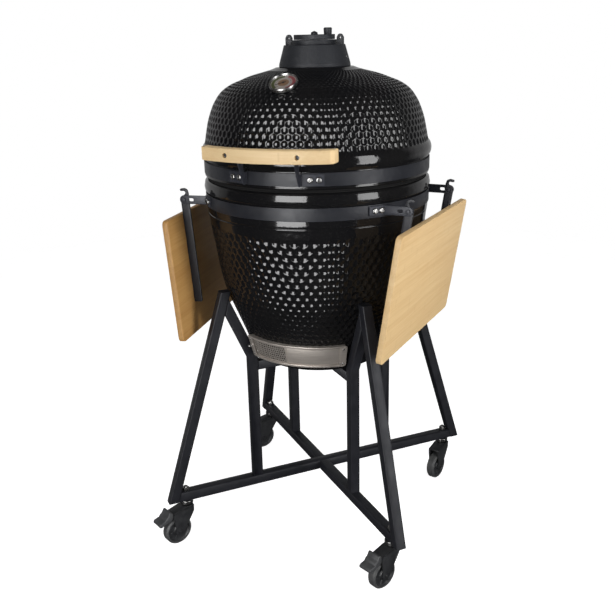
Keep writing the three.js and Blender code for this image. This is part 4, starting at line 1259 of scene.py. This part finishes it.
def caster_wheel(corner):
    place = caster_place(corner) @ move(-TRAIL, 0, WHEEL_RADIUS) @ turn("X", 90)
    width = WHEEL_WIDTH / 2
    rim = rounded([
        (5, -width), (14, -width), (15.5, -width + 4), (27, -width + 4), (29, -width + 0.6),
        (31.6, -width + 0.6), (31.6, width - 0.6), (29, width - 0.6), (27, width - 4),
        (15.5, width - 4), (14, width), (5, width),
    ], 0.9)
    shapes = [turned(rim, place, 64)]
    for i in range(6):
        spoke_place = place @ turn("Z", 60 * i) @ move(21)
        shapes.append(prism(rectangle(13, 3, 0.8), -width + 1.5, width - 1.5, spoke_place, 0.5))
    piece("wheel_" + corner, "caster_plastic", shapes, "caster_wheel_" + corner)
    tread = rounded([
        (31.7, -width), (34, -width), (WHEEL_RADIUS, -width + 4.5), (WHEEL_RADIUS, width - 4.5),
        (34, width), (31.7, width),
    ], 2.5)
    piece("tread_" + corner, "caster_tread", [turned(tread, place, 72)], body="wheel_" + corner)


def brake_pedal(corner):
    outline = [
        (-52, 84), (-52, 97), (-57, 103), (-61, 102), (-66, 93), (-72, 89), (-75, 84), (-88, 81),
        (-92, 78), (-92, 72), (-87, 70), (-75, 74), (-64, 76), (-56, 80),
    ]
    half = PEDAL_WIDTH / 2
    pedal = prism(rounded(outline, 1.6), -half, half, turn("X", 90), 1.4, 3)
    pedal.transform(caster_place(corner))
    piece("pedal_" + corner, "pedal_plastic", [pedal], "brake_pedal_" + corner)


def cart():
    tubes = [kind + corner for kind in ("outer_leg_", "inner_leg_") for corner in CORNERS]
    tubes += ["lower_bar_long", "lower_bar_front", "lower_bar_rear", "cradle_cross"]
    for node in tubes:
        piece(node + "_tube", "cart_steel", [refined(node, 2.6)], node)
    for corner in CORNERS:
        caster_post(corner)
        caster_fork(corner)
        caster_wheel(corner)
    brake_pedal("front_left")
    brake_pedal("front_right")


# ---------- studio, in metres ----------
VIEW_HEADING = 21.5  # degrees from +Y towards -X
BOX_DISTANCE, BOX_HEIGHT = 2.2, 2.3
SOFTBOXES = (  # name, degrees from the front, width, radiance in gloss, radiance on matt surfaces
    ("front_box", -5, 1.05, 9.0, 5.0),
    ("right_box", 69, 0.7, 6.5, 7.0),
)
BACKDROP = 1.0  # what the camera sees
FILL = 0.26  # what lights matt surfaces
GLOSS_DIM = (0.016, 0.0168, 0.0195)  # what gloss shows all round
GLOSS_BEHIND = 0.45  # and of the backdrop behind the grill


def camera():
    heading, pitch, roll = (math.radians(a) for a in (VIEW_HEADING, 18.32, -1.34))
    around, distance, height = math.radians(20.63), 2.0558, 1.2638
    forward = Vector((
        -math.sin(heading) * math.cos(pitch), math.cos(heading) * math.cos(pitch), -math.sin(pitch),
    ))
    right = forward.cross(Vector((0, 0, 1))).normalized()
    up = right.cross(forward)
    x = right * math.cos(roll) + up * math.sin(roll)
    y = up * math.cos(roll) - right * math.sin(roll)
    data = bpy.data.cameras.new("camera")
    data.lens = 48.23
    data.sensor_width = 36
    made = linked("camera", data)
    turned_to = Matrix((x, y, -forward)).transposed().to_4x4()
    at = (distance * math.sin(around), -distance * math.cos(around), height)
    made.matrix_world = Matrix.Translation(at) @ turned_to
    bpy.context.scene.camera = made


def softbox(name, degrees, width, radiance, seen_in):
    """An upright area light facing the grill, for gloss only or for matt light only."""
    light = bpy.data.lights.new(name, "AREA")
    light.shape = "RECTANGLE"
    light.size, light.size_y = width, BOX_HEIGHT
    light.energy = 4 * radiance * width * BOX_HEIGHT
    made = linked(name, light)
    angle = math.radians(degrees)
    made.location = (
        BOX_DISTANCE * math.sin(angle), -BOX_DISTANCE * math.cos(angle), BOX_HEIGHT / 2,
    )
    made.rotation_euler = (math.radians(90), 0, angle)
    made.visible_camera = False
    made.visible_diffuse = seen_in == "matt"
    made.visible_glossy = seen_in == "gloss"


def world():
    """White where the camera sees it and behind the grill, dim all round for gloss."""
    made = bpy.data.worlds.new("studio")
    bpy.context.scene.world = made
    made.use_nodes = True
    made.node_tree.nodes.clear()
    nodes = Nodes(made.node_tree)

    def background(level):
        colour = level if isinstance(level, tuple) else (level,) * 3
        return nodes.add("Background", {"Color": colour})

    def mixed(share, a, b):
        return nodes.add("MixShader", {0: share, 1: a, 2: b})

    direction = nodes.add("TexCoord", {}, "Generated")
    heading = math.radians(VIEW_HEADING)
    ahead = {0: direction, 1: (-math.sin(heading), math.cos(heading), 0)}
    away = nodes.add("VectorMath", ahead, "Value", operation="DOT_PRODUCT")
    height = nodes.add("SeparateXYZ", {0: direction}, "Z")
    behind = nodes.span(away, 0, 1, 0.12, 0.42)
    above = nodes.span(height, 0, 1, -0.5, -0.2)
    below = nodes.span(height, 0, 1, 0.7, 0.4)
    share = nodes.math("MULTIPLY", behind, nodes.math("MULTIPLY", below, above))
    gloss = mixed(share, background(GLOSS_DIM), background(GLOSS_BEHIND))
    lit = mixed(nodes.add("LightPath", {}, "Is Glossy Ray"), background(FILL), gloss)
    seen = mixed(nodes.add("LightPath", {}, "Is Camera Ray"), lit, background(BACKDROP))
    nodes.surface("OutputWorld", seen)


def floor():
    """A white floor that fades out before the horizon."""
    mesh = bpy.data.meshes.new("floor")
    reach = 6.0
    corners = [(-reach, -reach, 0), (reach, -reach, 0), (reach, reach, 0), (-reach, reach, 0)]
    mesh.from_pydata(corners, [], [(0, 1, 2, 3)])
    made = linked("floor", mesh)
    made.location.z = -0.0005
    made.visible_glossy = False
    made.visible_diffuse = False
    material = bpy.data.materials.new("floor")
    material.use_nodes = True
    mesh.materials.append(material)
    material.node_tree.nodes.clear()
    nodes = Nodes(material.node_tree)
    paper = nodes.add("BsdfDiffuse", {"Color": (0.9, 0.9, 0.9)})
    glow = nodes.add("Emission", {"Color": (1, 1, 1), "Strength": 0.75})
    both = nodes.add("AddShader", {0: paper, 1: glow})
    at = nodes.add("TexCoord", {}, "Object")
    away = nodes.add("VectorMath", {0: at}, "Value", operation="LENGTH")
    fade = nodes.span(away, 0, 1, 1.3, 3.6)
    clear = nodes.add("BsdfTransparent", {})
    nodes.surface("OutputMaterial", nodes.add("MixShader", {0: fade, 1: both, 2: clear}))


def studio():
    camera()
    world()
    floor()
    for name, degrees, width, shown, lighting in SOFTBOXES:
        softbox(name + "_gloss", degrees, width, shown, "gloss")
        softbox(name + "_fill", degrees, width, lighting, "matt")
    bpy.context.scene.view_settings.view_transform = "Standard"


studio()
cart()
bowl()
lid()
bands_and_gaskets()
vent()
thermometer()
handle()
for name, side in (("left", -1), ("right", 1)):
    handle_bracket(name, side)
    shelf(name, side)
hinge()
draft_door()
insides()
band_bolts()
